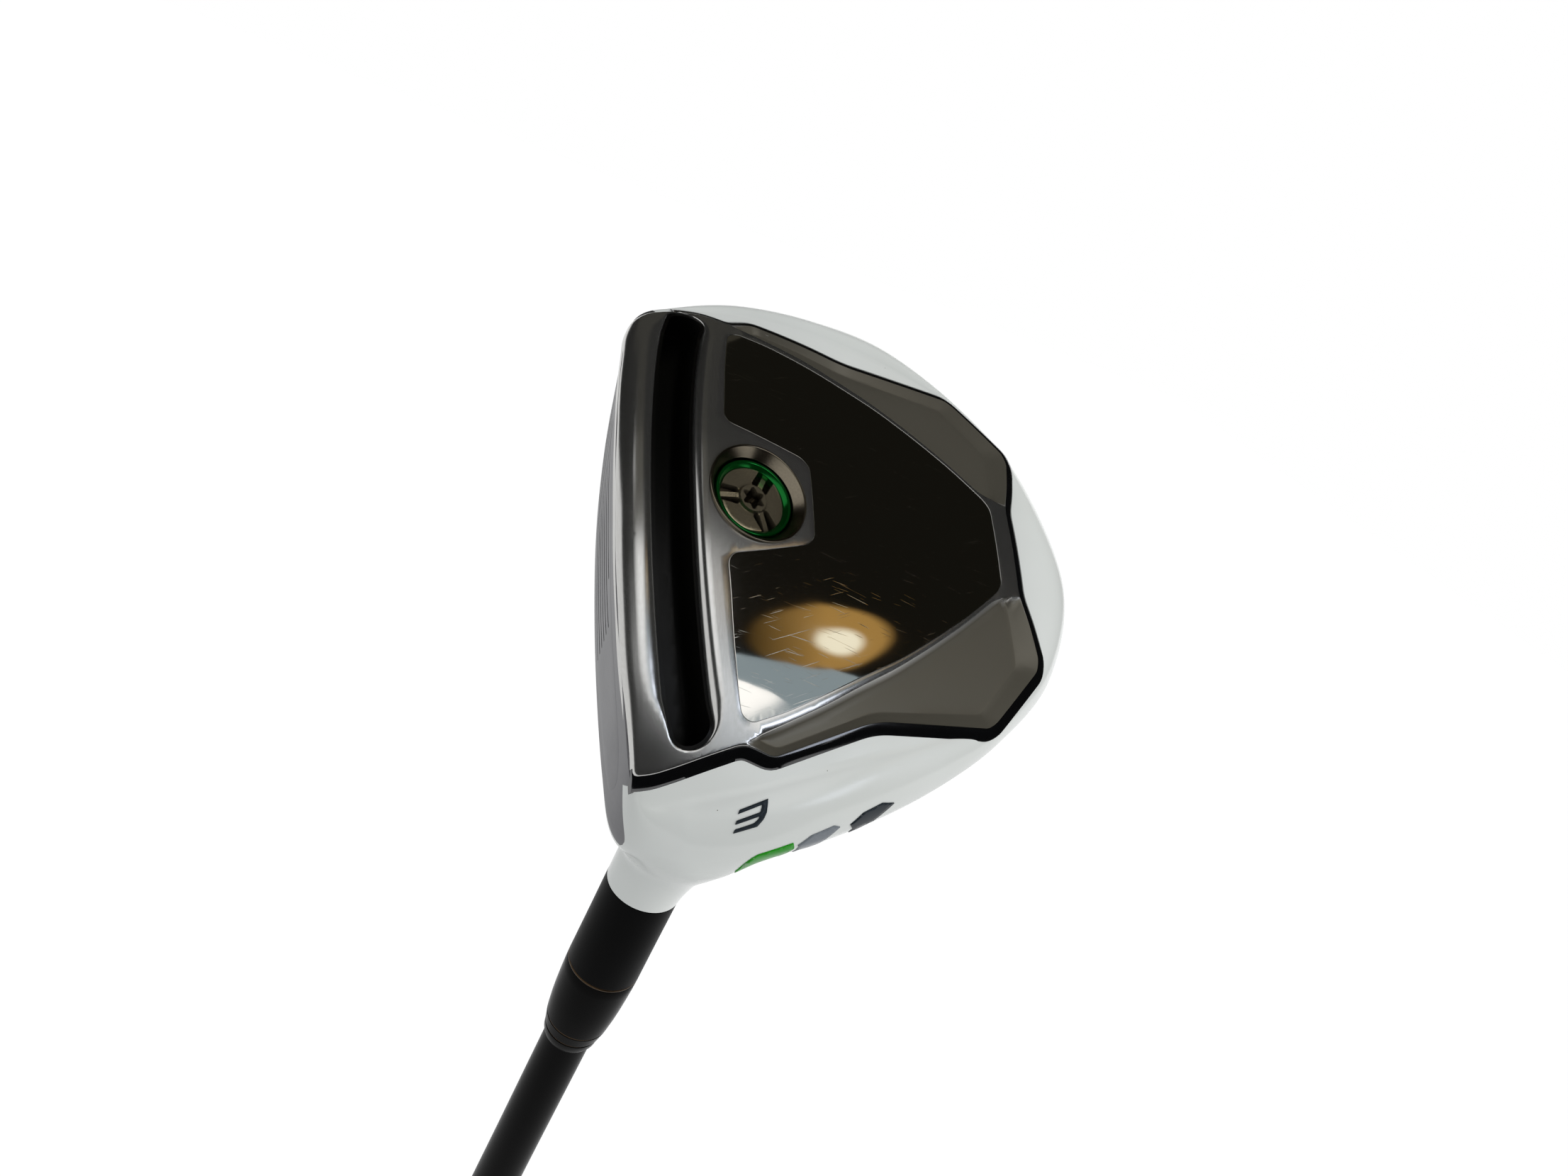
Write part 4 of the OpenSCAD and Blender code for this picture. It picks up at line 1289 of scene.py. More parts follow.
class FAIRWAY_OT_border(bpy.types.Operator):
    """Lay the black border round the sole plate"""

    bl_idname = "fairway.border"
    bl_label = "Black border"

    loop_steps = (0.0, 0.12, 0.3, 0.55, 0.85, 1.15, 1.45, BEZEL_WIDTH)
    sunk = 0.1
    fall = 0.75
    fall_power = 1.8
    heel_front = 3.0
    cut_run = 8.0
    toe_side = 60.0

    def execute(self, context):
        outline = plate_loop(PLATE_STEP)
        loops = [grown(outline, d) for d in self.loop_steps]
        start, corner = np.array(BEZEL_HEEL_CUT)
        ahead = (corner - start) / np.linalg.norm(corner - start)
        cuts = [np.array((corner - self.cut_run * ahead, corner + self.cut_run * ahead)),
                np.array(((0.0, BEZEL_TOE_START), (self.toe_side, BEZEL_TOE_START)))]

        def keep(p):
            behind = (p - corner) @ np.array((ahead[1], -ahead[0]))
            heel = (behind > 0) & (p[:, 1] > self.heel_front)
            held = np.where(p[:, 0] > 0, p[:, 1] > BEZEL_TOE_START, heel)
            return ~inside(p, loops[0]) & inside(p, loops[-1]) & held

        plan, faces = triangles(loops, 1.5, keep, cuts)
        away = np.clip(outside_by(plan, outline), 0, BEZEL_WIDTH)
        depth = self.sunk + self.fall * (away / BEZEL_WIDTH) ** self.fall_power
        surface = sole_z(plan[:, 0], plan[:, 1])
        points, solid = slab(plan, faces, surface + depth, surface + PLATE_BACK)
        obj = mesh_piece("black_border", to_row(points), solid)
        smooth_by(outward(obj), 45.0)
        settle(obj, "club", "sole_bezel", "border")
        return {"FINISHED"}


class FAIRWAY_OT_panel(bpy.types.Operator):
    """Set the mirror-polished panel into the plate"""

    bl_idname = "fairway.panel"
    bl_label = "Polished panel"

    gap = 0.03
    roll = 0.06
    roll_guard = 0.05
    sunk = 0.08
    back = 0.7
    port_gap = 0.05

    def execute(self, context):
        outline = grown(inlay_loop(0.5), -self.gap)
        loops = [outline] + [grown(outline, -d) for d in (0.02, 0.04, self.roll, self.roll + self.roll_guard)]
        port = circle_loop(PORT, PORT_RADIUS + self.port_gap, 120)

        def keep(p):
            return inside(p, outline) & ~inside(p, port)

        plan, faces = triangles(loops + [port], 1.0, keep)
        edge = np.clip(1 + outside_by(plan, outline) / self.roll, 0, 1)
        depth = self.sunk + self.roll * (1 - np.sqrt(1 - edge * edge))
        surface = sole_z(plan[:, 0], plan[:, 1])
        points, solid = slab(plan, faces, surface + depth, surface + self.back)
        obj = mesh_piece("polished_panel", to_row(points), solid)
        smooth_by(outward(obj), 50.0)
        settle(obj, "club", "polished_inlay", "panel")
        return {"FINISHED"}


class FAIRWAY_OT_slot_well(bpy.types.Operator):
    """Line the sole slot"""

    bl_idname = "fairway.slot_well"
    bl_label = "Slot well"

    # Rings down the wall: how far outside the slot's line, and how deep
    section = ((-0.15, 2.2), (-0.3, 5.4), (-0.7, 6.6), (-1.5, 7.1))
    shell_wall = 0.6
    below_lip = 0.03

    def execute(self, context):
        sizes, _ = club(context)
        slot = slot_loop(0.6)
        mouth = grown(slot, -self.below_lip)
        drop = sizes.lip_drop * lip_share(mouth[:, 0]) + self.below_lip
        rings = [on_sole(mouth, drop)] + [on_sole(grown(slot, out), depth) for out, depth in self.section]
        foot, floor_depth = self.section[-1]
        floor_loop = grown(slot, foot)
        plan, faces = triangles([floor_loop], 1.2, lambda p: inside(p, floor_loop))
        base = len(rings) * len(slot)
        points = np.vstack(rings + [on_sole(plan, floor_depth)])
        solid = ring_faces(len(rings), len(slot), False)
        solid += [tuple(i + base for i in f) for f in faces.tolist()]
        obj = outward(mesh_piece("slot_well", to_row(points), solid))
        wall = obj.modifiers.new("wall", "SOLIDIFY")
        wall.thickness = self.shell_wall / 1000.0
        wall.offset = -1.0
        select_only(obj)
        bpy.ops.object.modifier_apply(modifier=wall.name)
        smooth_by(obj, 60.0)
        settle(obj, "club", "slot_trough", "slot")
        return {"FINISHED"}


class FAIRWAY_OT_socket(bpy.types.Operator):
    """Turn the threaded socket for the weight"""

    bl_idname = "fairway.socket"
    bl_label = "Weight socket"

    back = 12.8
    # Radius and depth below the rim, from the outside over the lip
    lip = ((PORT_RADIUS, 0.2), (PORT_RADIUS - 0.12, 0.08), (8.55, 0.12), (8.42, 0.3))
    # Radius and height, from the cone's foot to the threaded hole
    well = ((7.45, 3.0), (7.3, 3.2), (7.3, PORT_FLOOR), (3.35, PORT_FLOOR))
    threads = 6
    thread = ((3.02, 0.4), (3.3, 0.9))
    hole_radius = 3.1

    def execute(self, context):
        lip = [(r, PORT_RIM + depth) for r, depth in self.lip]
        profile = [(PORT_RADIUS, self.back)] + lip + list(self.well)
        for i in range(self.threads):
            profile += [(r, PORT_FLOOR + up + i) for r, up in self.thread]
        profile.append((self.hole_radius, self.back))
        obj = smooth_by(turned("weight_socket", softened(profile, 0.15), 96, on_port), 35.0)
        settle(obj, "club", "weight_port", "socket")
        return {"FINISHED"}


class FAIRWAY_OT_weight(bpy.types.Operator):
    """Model the green ring and the slotted weight screw"""

    bl_idname = "fairway.weight"
    bl_label = "Weight"

    # Radius and height of the ring's profile
    ring = (
        (7.0, 5.9), (7.0, 3.4), (6.85, 3.17), (6.5, 3.17),
        (5.87, 3.95), (5.87, 5.48), (3.12, 5.48), (3.12, 5.9),
    )
    disc_radius = 5.8
    rim_width = 0.2
    rim_fall = 0.06
    hub_radius = 2.45
    hub_front = 3.42
    hub_slope = 0.2
    # Strength of the painted shade line round the hub's edge
    hub_shade_line = 0.75
    dish = 3.85
    slot_ways = (-90.0, 30.0, 150.0)
    slot_floor = 5.1
    slot_half = 0.58
    slot_aside = 1.02
    slot_from = 3.0
    slot_to = 6.6
    bar_step = 0.1
    bar_fall = 0.36
    swell = 0.15
    swell_run = 3.0
    steep = 0.09
    drive_radius = 1.75
    drive_wave = 0.2
    drive_floor = 4.97
    back = 5.47
    back_lap = 0.1
    clip_seat = ((2.95, 5.93), (2.6, 5.93), (2.6, 6.23))
    thread_start = 6.5
    thread_pitch = 1.0
    thread = ((2.62, 0.0), (2.94, 0.45))
    shank_end = 12.07
    point = ((2.6, 0.3), (2.3, 0.0), (0.0, 0.0))

    def execute(self, context):
        ring = smooth_by(turned("green_ring", softened(self.ring, 0.14), 96, on_port), 40.0)
        settle(ring, "weight_carriage", "weight_ring", "green")
        self.screw()
        return {"FINISHED"}

    def screw(self):
        """Dished head with three pairs of slots and a six-lobe drive, on a threaded shank."""
        disc = self.disc()
        start = self.back - self.back_lap
        profile = [(0.0, start), (self.clip_seat[0][0], start)] + list(self.clip_seat)
        z = self.thread_start
        while z < self.shank_end - 0.6:
            profile += [(r, z + up) for r, up in self.thread]
            z += self.thread_pitch
        profile += [(r, self.shank_end - short) for r, short in self.point]
        shank = turned("shank", softened(profile, 0.1, False), 64, on_port)
        select_only(disc)
        shank.select_set(True)
        bpy.ops.object.join()
        smooth_by(disc, 35.0)
        settle(disc, "weight_spindle", "weight_screw", "screw")

    def slots(self):
        """Each slot's direction and its offset to the side."""
        for degrees in self.slot_ways:
            way = np.array((math.cos(math.radians(degrees)), math.sin(math.radians(degrees))))
            across = np.array((-way[1], way[0]))
            for side in (-self.slot_aside, self.slot_aside):
                yield way, across * side

    def slot_outline(self, way, aside, half):
        """Slot with a round inner end that runs out past the disc's edge."""
        across = np.array((-way[1], way[0]))
        far = aside + way * self.slot_to
        near = aside + way * self.slot_from
        heading = math.atan2(way[1], way[0])
        turn = np.linspace(math.pi / 2, 3 * math.pi / 2, 14) + heading
        arc = near + half * np.stack((np.cos(turn), np.sin(turn)), axis=1)
        return even(np.vstack((far + across * half, arc, far - across * half)), 0.25)

    def lobes(self, angle):
        """Radius of the six-lobe drive at an angle."""
        return self.drive_radius * (1.0 + self.drive_wave * np.cos(6 * angle))

    def disc_loops(self):
        """Lines that the disc's plan is cut along."""
        middle = (0.0, 0.0)
        rim = circle_loop(middle, self.disc_radius, 120)
        angle = np.linspace(0, 2 * math.pi, 120, endpoint=False)
        star = self.lobes(angle)[:, None] * np.stack((np.cos(angle), np.sin(angle)), axis=1)
        loops = [rim, grown(rim, -self.rim_width), star, grown(star, -self.steep)]
        hub_steps = (-0.08, 0.0, self.hub_slope, self.hub_slope + 0.08)
        loops += [circle_loop(middle, self.hub_radius + d, 72) for d in hub_steps]
        for way, aside in self.slots():
            for half in (self.slot_half, self.slot_half - self.steep):
                loops.append(self.slot_outline(way, aside, half))
        return loops

    def disc(self):
        """Front of the screw as one surface over its plan, closed at the back."""
        reach = self.disc_radius - 1e-3
        plan, faces = triangles(self.disc_loops(), 0.5, lambda p: np.linalg.norm(p, axis=1) < reach)
        radius = np.linalg.norm(plan, axis=1)
        around = np.arctan2(plan[:, 1], plan[:, 0])
        hub = np.clip((self.hub_radius + self.hub_slope - radius) / self.hub_slope, 0, 1)
        wave = np.cos(3 * (around + math.pi / 2)) * np.clip((radius - self.hub_radius) / self.swell_run, 0, 1)
        front = self.dish + (self.hub_front - self.dish) * hub - self.swell * wave
        front += self.rim_fall * np.clip((radius - self.disc_radius + self.rim_width) / self.rim_width, 0, 1)
        # Painted shade: a dark line round the hub's edge, then the slots and the drive darkened as if in
        # shade
        recess = self.hub_shade_line * np.clip(1 - (np.abs(radius - self.hub_radius - 0.1) - 0.1) / 0.07, 0, 1)
        for way, _ in self.slots():
            along = plan @ way
            between_slots = np.abs(plan @ np.array((-way[1], way[0]))) < self.slot_aside
            bar = self.hub_front + self.bar_step + self.bar_fall * (along - self.hub_radius)
            front = np.where(between_slots & (along > self.hub_radius), bar, front)
        for way, aside in self.slots():
            along = np.maximum((plan - aside) @ way, self.slot_from)
            away = np.linalg.norm(plan - aside - along[:, None] * way, axis=1)
            cut = np.clip((self.slot_half - away) / self.steep, 0, 1)
            front = front + (self.slot_floor - front) * cut
            recess = np.maximum(recess, cut)
        sunk = np.clip((self.lobes(around) - radius) / self.steep, 0, 1)
        front = np.maximum(front, self.hub_front + (self.drive_floor - self.hub_front) * sunk)
        points, solid = slab(plan, faces, front, np.full(len(plan), self.back))
        obj = mesh_piece("slotted_screw", on_port(points), solid)
        # Painted shade for the finish to read: slots, drive and the hub's edge go dark
        note_points(obj, "recess", np.concatenate((np.maximum(recess, sunk), np.zeros(len(plan)))))
        return outward(obj)


class FAIRWAY_OT_hosel(bpy.types.Operator):
    """Turn the collar, the trim line and the ferrule"""

    bl_idname = "fairway.hosel"
    bl_label = "Collar and ferrule"

    collar_length = 17.5
    collar_radius = 6.4
    collar_waist = 6.34
    edge = 0.25
    trim_width = 0.5
    ferrule_length = 18.0
    # Shares of the ferrule's length between which its two copper lines lie
    copper_lines = ((0.732, 0.748), (0.87, 0.888))

    def execute(self, context):
        r = self.collar_radius
        top = NECK_AT + COLLAR_LAP
        low = NECK_AT - self.collar_length
        collar = [(BORE_RADIUS, top), (NECK_RADIUS - 0.05, top), (NECK_RADIUS + 0.02, top - self.edge),
                  (self.collar_waist, (top + low) / 2), (r, low + 0.15), (r - 0.08, low), (BORE_RADIUS, low)]
        obj = smooth_by(turned("black_collar", softened(collar, 0.1), 96, club_to_row), 35.0)
        settle(obj, "club", "hosel_collar", "collar")
        under = low - self.trim_width
        trim = [(BORE_RADIUS, low), (r - 0.06, low), (r + 0.02, low - self.edge), (r - 0.06, under),
                (BORE_RADIUS, under)]
        obj = smooth_by(turned("trim_line", softened(trim, 0.06), 96, club_to_row), 35.0)
        settle(obj, "club", "trim_ring", "copper")
        self.ferrule(under)
        return {"FINISHED"}

    def ferrule(self, start):
        """Ferrule with its two ring lines near the thin end."""
        r = self.collar_radius
        long = self.ferrule_length
        first, second = self.copper_lines
        section = ((r - 0.08, 0.0), (r, 0.012), (r - 0.02, 0.12), (r - 0.1, 0.25), (r - 0.24, 0.42),
                   (r - 0.4, 0.55), (r - 0.68, 0.70), (r - 0.74, 0.728), (r - 0.86, first[0]),
                   (r - 0.88, first[1]), (r - 0.8, 0.752), (r - 1.2, 0.865), (r - 1.38, second[0]),
                   (r - 1.42, second[1]), (r - 1.32, 0.892), (r - 1.5, 0.96), (BORE_RADIUS + 0.25, 1.0))
        profile = [(BORE_RADIUS, start)] + [(radius, start - share * long) for radius, share in section]
        profile += [(BORE_RADIUS, start - long)]
        obj = smooth_by(turned("ferrule_turned", profile, 96, club_to_row), 30.0)
        settle(obj, "club", "ferrule", "ferrule")
        obj.data.materials.append(Shared.finishes["copper"])
        for poly in obj.data.polygons:
            share = (start / 1000.0 - poly.center.z) * 1000.0 / long
            outer = math.hypot(poly.center.x, poly.center.y) * 1000.0 > BORE_RADIUS + 0.2
            if outer and any(low < share < high for low, high in self.copper_lines):
                poly.material_index = 1


class FAIRWAY_OT_shaft(bpy.types.Operator):
    """Turn the tapered shaft"""

    bl_idname = "fairway.shaft"
    bl_label = "Shaft"

    tip_radius = 4.25
    tip_run = 90.0
    tip_edge = (0.3, 0.4)
    butt_radius = 7.6
    wall = 1.2

    def execute(self, context):
        tip_end = NECK_AT + BORE_DEPTH
        taper_end = tip_end - self.tip_run
        heights = np.linspace(GRIP_CAP, taper_end, 40)
        gain = self.butt_radius - self.tip_radius
        radii = self.tip_radius + gain * (taper_end - heights) / (taper_end - GRIP_CAP)
        taper = list(zip(radii, heights))
        inward, below = self.tip_edge
        tip = [(self.tip_radius, tip_end - below), (self.tip_radius - inward, tip_end),
               (self.tip_radius - self.wall, tip_end)]
        profile = taper + tip + [(r - self.wall, z) for r, z in reversed(taper)]
        obj = smooth_by(turned("shaft_tube", profile, 96, club_to_row), 35.0)
        settle(obj, "club", "shaft", "shaft")
        return {"FINISHED"}


class FAIRWAY_OT_grip(bpy.types.Operator):
    """Mould the rubber grip and its cap"""

    bl_idname = "fairway.grip"
    bl_label = "Grip"

    length = 267.0
    around = 120
    rings = 300
    bore = 7.95
    mouth = 7.0
    # Heights above the cap, and the sleeve's radius there
    taper = ((0.0, 12.8), (40.0, 12.2), (251.0, 9.4), (266.0, 8.9), (267.0, 8.4))
    cap = (
        (1.6, 0.0), (11.2, 0.0), (11.6, 0.35), (12.4, 0.35), (13.2, 0.6), (13.6, 1.8), (13.6, 4.8),
        (12.85, GRIP_CAP), (1.6, GRIP_CAP),
    )
    # Diamond pattern: shares of the length that it fills, its plain middle, and its ribs round and along
    pattern_from = 0.06
    pattern_to = 0.9
    pattern_fade = 0.02
    plain_middle = 0.46
    plain_half = 0.012
    ribs = 15
    rib_pitch = 0.9
    groove_from = 0.55
    groove_slope = 0.3
    band_lines = (0.05, 0.445, 0.475, 0.915, 0.935, 0.955)
    band_width = 0.004
    band_depth = 0.3

    def execute(self, context):
        sizes, _ = club(context)
        self.sleeve(sizes.grip_texture)
        obj = smooth_by(turned("butt_cap", softened(self.cap, 0.3), 96, club_to_row), 40.0)
        settle(obj, "club", "grip_cap", "rubber")
        return {"FINISHED"}

    def sleeve(self, texture):
        """Tapered sleeve with a raised diamond pattern between plain bands."""
        end = GRIP_CAP + self.length
        z = np.linspace(GRIP_CAP, end, self.rings)
        radius = np.interp(z, [GRIP_CAP + up for up, _ in self.taper], [r for _, r in self.taper])
        turn = np.linspace(0, 2 * math.pi, self.around, endpoint=False)
        share = (z - GRIP_CAP) / self.length
        filled = np.minimum(share - self.pattern_from, self.pattern_to - share) / self.pattern_fade
        off_middle = np.abs(share - self.plain_middle) / self.plain_half - 1.0
        filled = np.clip(filled, 0, 1) * np.clip(off_middle, 0, 1)
        round_way = turn[None, :] * self.ribs
        along_way = z[:, None] * self.rib_pitch
        wave = np.maximum(np.cos(round_way + along_way), np.cos(round_way - along_way))
        groove = np.clip((wave - self.groove_from) / self.groove_slope, 0, 1)
        bands = sum(np.exp(-((share - at) / self.band_width) ** 2) for at in self.band_lines)
        r = radius[:, None] - texture * groove * filled[:, None] - self.band_depth * bands[:, None]
        outer = np.stack((r * np.cos(turn), r * np.sin(turn), np.broadcast_to(z[:, None], r.shape)), axis=2)
        inner = [np.column_stack((hole * np.cos(turn), hole * np.sin(turn), np.full(self.around, height)))
                 for height, hole in ((end, self.mouth), (GRIP_CAP, self.bore))]
        grid = np.concatenate((outer, inner))
        faces = ring_faces(len(grid), self.around, True)
        obj = mesh_piece("rubber_grip", club_to_row(grid.reshape(-1, 3)), faces)
        smooth_by(outward(obj), 50.0)
        settle(obj, "club", "grip_sleeve", "rubber")


class FAIRWAY_OT_stage(bpy.types.Operator):
    """Set up the floor, the lights and the camera"""

    bl_idname = "fairway.stage"
    bl_label = "Stage"

    white = (1.0, 1.0, 1.0, 1.0)
    dark = "#171612"
    # Place on the head that lamps and cards surround, and the farthest cards' distance from it, in metres
    head_middle = (0.0, 38.0, 10.0)
    card_reach = 2.0
    # Each card's distance before the farthest ones, colour, strength, and its corners' directions
    cards = {
        "front_toe_card": (0.0, dark, 1.0, (
            (0.0, -0.8, 0.6), (0.0, -0.24, 0.97), (-0.3, -0.12, 0.95), (-0.6, 0.0, 0.8), (-0.97, 0.05, 0.2),
            (-0.95, -0.3, 0.05), (-0.65, -0.75, 0.1))),
        "front_heel_card": (0.0, dark, 1.0, (
            (0.0, -0.8, 0.6), (0.4, -0.78, 0.48), (0.75, -0.62, 0.2), (0.97, -0.2, -0.15), (0.98, 0.1, -0.1),
            (0.9, 0.06, 0.4), (0.84, -0.1, 0.54), (0.42, -0.22, 0.88), (0.0, -0.24, 0.97))),
        "grey_toe_card": (0.0, "#38362F", 1.0, (
            (-0.2, -0.15, 0.97), (-0.6, 0.0, 0.8), (-0.97, 0.05, 0.2), (-0.97, 0.22, 0.1), (-0.7, 0.25, 0.67),
            (-0.2, 0.28, 0.94))),
        "grey_mid_card": (0.0, "#5C5A52", 1.0, (
            (-0.2, -0.15, 0.97), (-0.2, 0.28, 0.94), (0.3, 0.28, 0.91), (0.36, -0.22, 0.9))),
        "back_toe_card": (0.0, dark, 1.0, (
            (0.0, 0.28, 0.96), (0.0, 0.83, 0.56), (-0.55, 0.8, 0.25), (-0.97, 0.22, 0.1), (-0.7, 0.25, 0.67),
            (-0.25, 0.28, 0.93))),
        "back_heel_card": (0.0, dark, 1.0, (
            (0.0, 0.28, 0.96), (0.31, 0.31, 0.9), (0.5, 0.285, 0.82), (0.66, 0.235, 0.71), (0.7, 0.42, 0.58),
            (0.48, 0.68, 0.56), (0.0, 0.83, 0.56))),
        "pale_card": (0.5, "#97A6AE", 1.0, (
            (0.69, 0.225, 0.69), (0.606, 0.308, 0.733), (0.544, 0.376, 0.75), (0.521, 0.422, 0.742),
            (0.5, 0.47, 0.73), (0.56, 0.47, 0.68), (0.7, 0.36, 0.61), (0.8, 0.28, 0.53), (0.9, 0.17, 0.4),
            (0.89, 0.09, 0.45), (0.755, 0.19, 0.63))),
        "white_card": (0.7, "#FFFFFF", 1.5, (
            (0.75, 0.19, 0.63), (0.727, 0.231, 0.646), (0.716, 0.246, 0.653), (0.716, 0.252, 0.651),
            (0.748, 0.229, 0.623), (0.793, 0.193, 0.578), (0.84, 0.15, 0.52), (0.84, 0.1, 0.53))),
        "window_card": (0.05, "#FFFFFF", 1.5, (
            (0.42, -0.14, 0.9), (0.42, 0.26, 0.87), (0.62, 0.22, 0.75), (0.74, 0.18, 0.65), (0.86, 0.08, 0.5),
            (0.8, -0.08, 0.6))),
        "lamp_card": (0.9, "#E6EEFF", 4.5, (
            (0.9, 0.22, 0.38), (0.86, 0.26, 0.44), (0.79, 0.33, 0.52), (0.7, 0.4, 0.59), (0.66, 0.46, 0.6),
            (0.74, 0.47, 0.48), (0.83, 0.44, 0.34), (0.89, 0.34, 0.3))),
        "low_heel_card": (0.0, dark, 1.0, (
            (0.48, 0.68, 0.56), (0.66, 0.48, 0.58), (0.86, 0.48, 0.2), (0.85, 0.52, -0.1), (0.5, 0.86, -0.1),
            (0.3, 0.85, 0.4))),
        "low_back_card": (0.0, dark, 1.0, (
            (-0.55, 0.8, 0.25), (0.0, 0.83, 0.56), (0.48, 0.68, 0.56), (0.5, 0.86, -0.1), (0.0, 1.0, -0.1),
            (-0.5, 0.86, -0.1))),
        "side_heel_card": (0.0, dark, 1.0, (
            (0.9, 0.06, 0.4), (0.9, 0.22, 0.38), (0.83, 0.44, 0.34), (0.86, 0.48, 0.2), (0.85, 0.52, -0.1),
            (0.8, 0.45, -0.4), (0.9, 0.0, -0.4), (0.97, -0.2, -0.15))),
    }
    warm_nearer = 0.4
    # Three by three corners of the warm card
    warm_ways = (
        (0.714, 0.23, 0.662), (0.573, 0.348, 0.742), (0.44, 0.512, 0.737),
        (0.612, 0.271, 0.743), (0.467, 0.383, 0.797), (0.343, 0.515, 0.785),
        (0.491, 0.306, 0.816), (0.347, 0.411, 0.843), (0.235, 0.517, 0.823),
    )
    # Direction, size in metres and power of each lamp
    lamps = {
        "key": ((0.45, 0.75, 0.5), 1.0, 8.0),
        "side": ((0.5, -0.5, 0.7), 1.0, 1.5),
        "toe": ((-0.75, 0.5, 0.4), 0.8, 8.0),
    }
    lamp_reach = 1.3

    def execute(self, context):
        scene = context.scene
        scene.view_settings.view_transform = "Standard"
        _, colours = club(context)
        self.world(scene)
        self.floor(colours)
        for name, (nearer, colour, strength, ways) in self.cards.items():
            self.card(name, ways, self.card_reach - nearer, colour, strength)
        self.warm_card(self.card_reach - self.warm_nearer)
        self.hang_lamps()
        self.camera(scene)
        return {"FINISHED"}

    def white_for_viewer(self, tree, soft, white):
        """Mix of a soft shader with plain white for camera, glossy and see-through rays."""
        path = add(tree, "LightPath").outputs
        seen = path["Is Camera Ray"]
        for ray in ("Is Glossy Ray", "Is Transmission Ray"):
            seen = add(tree, "Math", {"operation": "MAXIMUM"}, {0: seen, 1: path[ray]}, "Value")
        return add(tree, "MixShader", None, {0: seen, 1: soft, 2: white}, "Shader")

    def world(self, scene):
        """White surroundings for the eye and softer fill light for the object."""
        world = bpy.data.worlds.new("studio")
        scene.world = world
        tree = cleared(world)
        fill = add(tree, "Background", {"Color": linear("#F4F7FB"), "Strength": 0.58}, out="Background")
        white = add(tree, "Background", {"Color": self.white, "Strength": 1.0}, out="Background")
        add(tree, "OutputWorld", None, {"Surface": self.white_for_viewer(tree, fill, white)})

    def floor(self, colours):
        """Plain pale floor under the butt of the grip."""
        bpy.ops.object.select_all(action="DESELECT")
        bpy.ops.mesh.primitive_plane_add(size=14.0, location=(0.0, 0.0, -0.0005))
        floor = bpy.context.object
        floor.name = "floor"
        material, tree = started("floor_paper_matt")
        paper = add(tree, "BsdfDiffuse", {"Color": colour_of(colours.floor)}, out="BSDF")
        glow = add(tree, "Emission", {"Color": self.white, "Strength": 1.1}, out="Emission")
        faded = add(tree, "MixShader", {0: 0.86}, {1: paper, 2: glow}, "Shader")
        add(tree, "OutputMaterial", None, {"Surface": self.white_for_viewer(tree, paper, faded)})
        floor.data.materials.append(material)

    def card(self, name, ways, reach, colour, strength, faces=None):
        """Studio card that only reflections see, with its corners in these directions from the head."""
        centre = to_row(self.head_middle)
        corners = [centre + reach * np.array(way) / np.linalg.norm(way) for way in ways]
        card = mesh_piece(name, corners, faces or [tuple(range(len(corners)))])
        material, tree = started(name + "_paper")
        glow = add(tree, "Emission", {"Color": linear(colour), "Strength": strength})
        out = add(tree, "OutputMaterial", None, {"Surface": glow.outputs["Emission"]})
        card.data.materials.append(material)
        card.visible_camera = False
        card.visible_diffuse = False
        card.visible_shadow = False
        card.visible_transmission = False
        return card, tree, glow, out

    def warm_card(self, reach):
        """Warm oval glow with a bright middle, laid out on a three by three grid with its own UV map."""
        quads = [(i, i + 1, i + 4, i + 3) for i in (0, 1, 3, 4)]
        card, tree, glow, out = self.card("warm_card", self.warm_ways, reach, "#FFFFFF", 1.2, quads)
        layer = card.data.uv_layers.new(name="spread")
        for loop, corner in zip(layer.data, card.data.loops):
            row, column = divmod(corner.vertex_index, 3)
            loop.uv = (column - 1.0, row - 1.0)
        select_only(card)
        bpy.ops.object.mode_set(mode="EDIT")
        bpy.ops.mesh.select_all(action="SELECT")
        bpy.ops.mesh.subdivide(number_cuts=8)
        bpy.ops.object.mode_set(mode="OBJECT")
        round_glow = {"gradient_type": "SPHERICAL"}
        spread = add(tree, "UVMap", {"uv_map": "spread"}, out="UV")
        oval = add(tree, "TexGradient", round_glow, {"Vector": spread}, "Fac")
        edge = add(tree, "MapRange", {"From Min": 0.02, "From Max": 0.16}, {"Value": oval}, "Result")
        across = add(tree, "SeparateXYZ", None, {"Vector": spread}, "X")
        share = add(tree, "MapRange", {"From Min": -0.95, "From Max": 0.1}, {"Value": across}, "Result")
        gold = add(tree, "MixRGB", {"Color1": linear("#30240F"), "Color2": linear("#A98448")},
                   {"Fac": share}, "Color")
        aside = add(tree, "Mapping", {"Location": (-0.58, 0.2, 0.0), "Scale": (2.3, 2.0, 1.0)},
                    {"Vector": spread}, "Vector")
        core = add(tree, "TexGradient", round_glow, {"Vector": aside}, "Fac")
        hot = add(tree, "MapRange", {"From Min": 0.1, "From Max": 0.45}, {"Value": core}, "Result")
        tint = add(tree, "MixRGB", {"Color2": linear("#FFF8E0")}, {"Fac": hot, "Color1": gold}, "Color")
        clear = add(tree, "BsdfTransparent", out="BSDF")
        mixed = add(tree, "MixShader", None, {0: edge, 1: clear, 2: glow.outputs["Emission"]}, "Shader")
        tree.links.new(tint, glow.inputs["Color"])
        tree.links.new(mixed, out.inputs["Surface"])

    def hang_lamps(self):
        """Soft lamps from the back, the heel side and the toe, which reflections don't see."""
        target = Vector(to_row(self.head_middle))
        for name, (way, size, power) in self.lamps.items():
            data = bpy.data.lights.new(name, "AREA")
            data.size = size
            data.energy = power
            lamp = bpy.data.objects.new(name, data)
            bpy.context.scene.collection.objects.link(lamp)
            aim = Vector(way).normalized()
            lamp.location = target + aim * self.lamp_reach
            lamp.rotation_euler = (-aim).to_track_quat("-Z", "Y").to_euler()
            lamp.visible_glossy = False

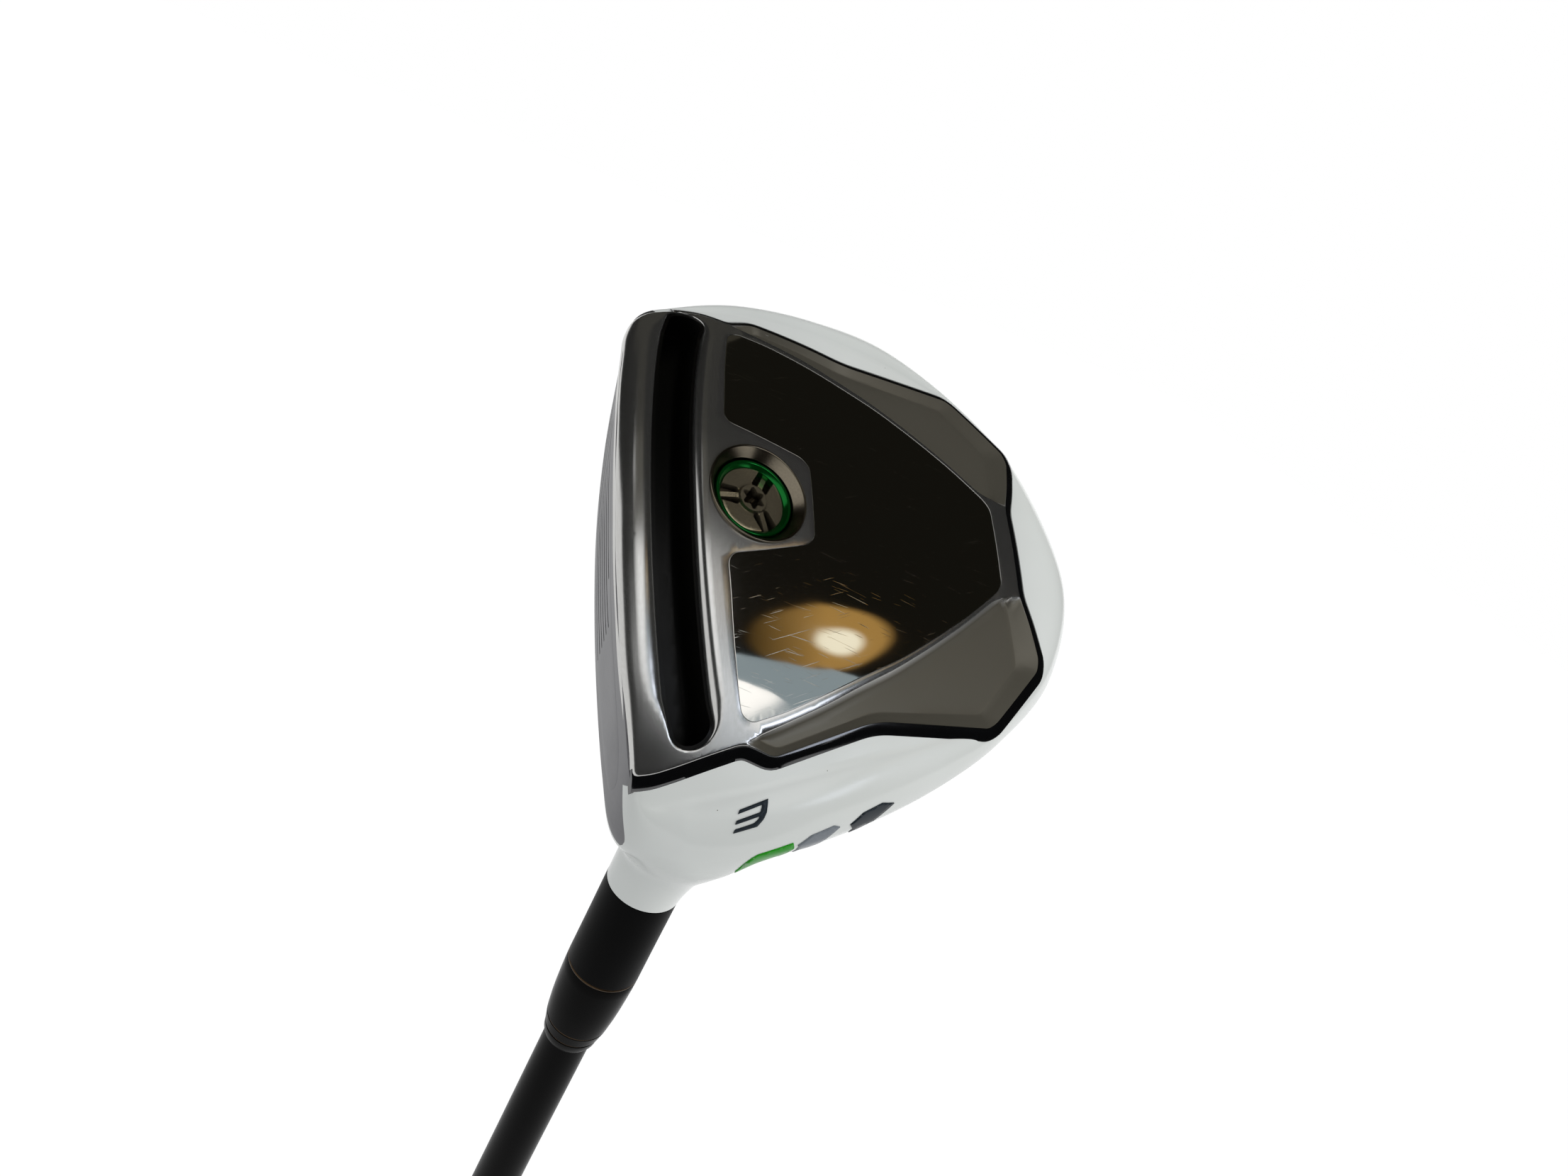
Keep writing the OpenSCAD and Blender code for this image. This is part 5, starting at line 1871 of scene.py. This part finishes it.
    def camera(self, scene):
        """Camera at the photograph's viewing angle."""
        data = bpy.data.cameras.new("photo_view")
        data.sensor_fit = "HORIZONTAL"
        data.sensor_width = 36.0
        data.lens = 25.24
        data.clip_start = 0.01
        data.clip_end = 50.0
        obj = bpy.data.objects.new("photo_view", data)
        scene.collection.objects.link(obj)
        right = Vector((0.31494, 0.85738, 0.40708))
        up = Vector((-0.54713, -0.18647, 0.81602))
        back = Vector((0.77554, -0.47972, 0.41037))
        place = Matrix((right, up, back)).transposed().to_4x4()
        place.translation = Vector((0.12022, -0.07556, 1.16850))
        obj.matrix_world = place
        scene.camera = obj


PIECES = (
    FAIRWAY_OT_finishes,
    FAIRWAY_OT_head,
    FAIRWAY_OT_marks,
    FAIRWAY_OT_face,
    FAIRWAY_OT_sole_plate,
    FAIRWAY_OT_border,
    FAIRWAY_OT_panel,
    FAIRWAY_OT_slot_well,
    FAIRWAY_OT_socket,
    FAIRWAY_OT_weight,
    FAIRWAY_OT_hosel,
    FAIRWAY_OT_shaft,
    FAIRWAY_OT_grip,
    FAIRWAY_OT_stage,
)


class FAIRWAY_PT_panel(bpy.types.Panel):
    """Lists the sizes, the colours and the pieces"""

    bl_idname = "FAIRWAY_PT_panel"
    bl_label = "Fairway Wood"
    bl_space_type = "VIEW_3D"
    bl_region_type = "UI"
    bl_category = "Fairway Wood"

    def draw(self, context):
        sizes, colours = club(context)
        for group in (sizes, colours):
            for key in group.__annotations__:
                self.layout.prop(group, key)
        for piece in PIECES:
            self.layout.operator(piece.bl_idname)


CLASSES = (FairwayFinish, FairwaySizes) + PIECES + (FAIRWAY_PT_panel,)


def register():
    """Registers the classes and their settings."""
    for cls in CLASSES:
        bpy.utils.register_class(cls)
    bpy.types.Scene.fairway_finish = bpy.props.PointerProperty(type=FairwayFinish)
    bpy.types.Scene.fairway_sizes = bpy.props.PointerProperty(type=FairwaySizes)


def unregister():
    """Removes the classes and their settings."""
    del bpy.types.Scene.fairway_sizes
    del bpy.types.Scene.fairway_finish
    for cls in reversed(CLASSES):
        bpy.utils.unregister_class(cls)


def main():
    """Builds the club piece by piece."""
    register()
    bpy.ops.object.select_all(action="DESELECT")
    for piece in PIECES:
        group, call = piece.bl_idname.split(".")
        getattr(getattr(bpy.ops, group), call)()


if __name__ == "__main__":
    main()
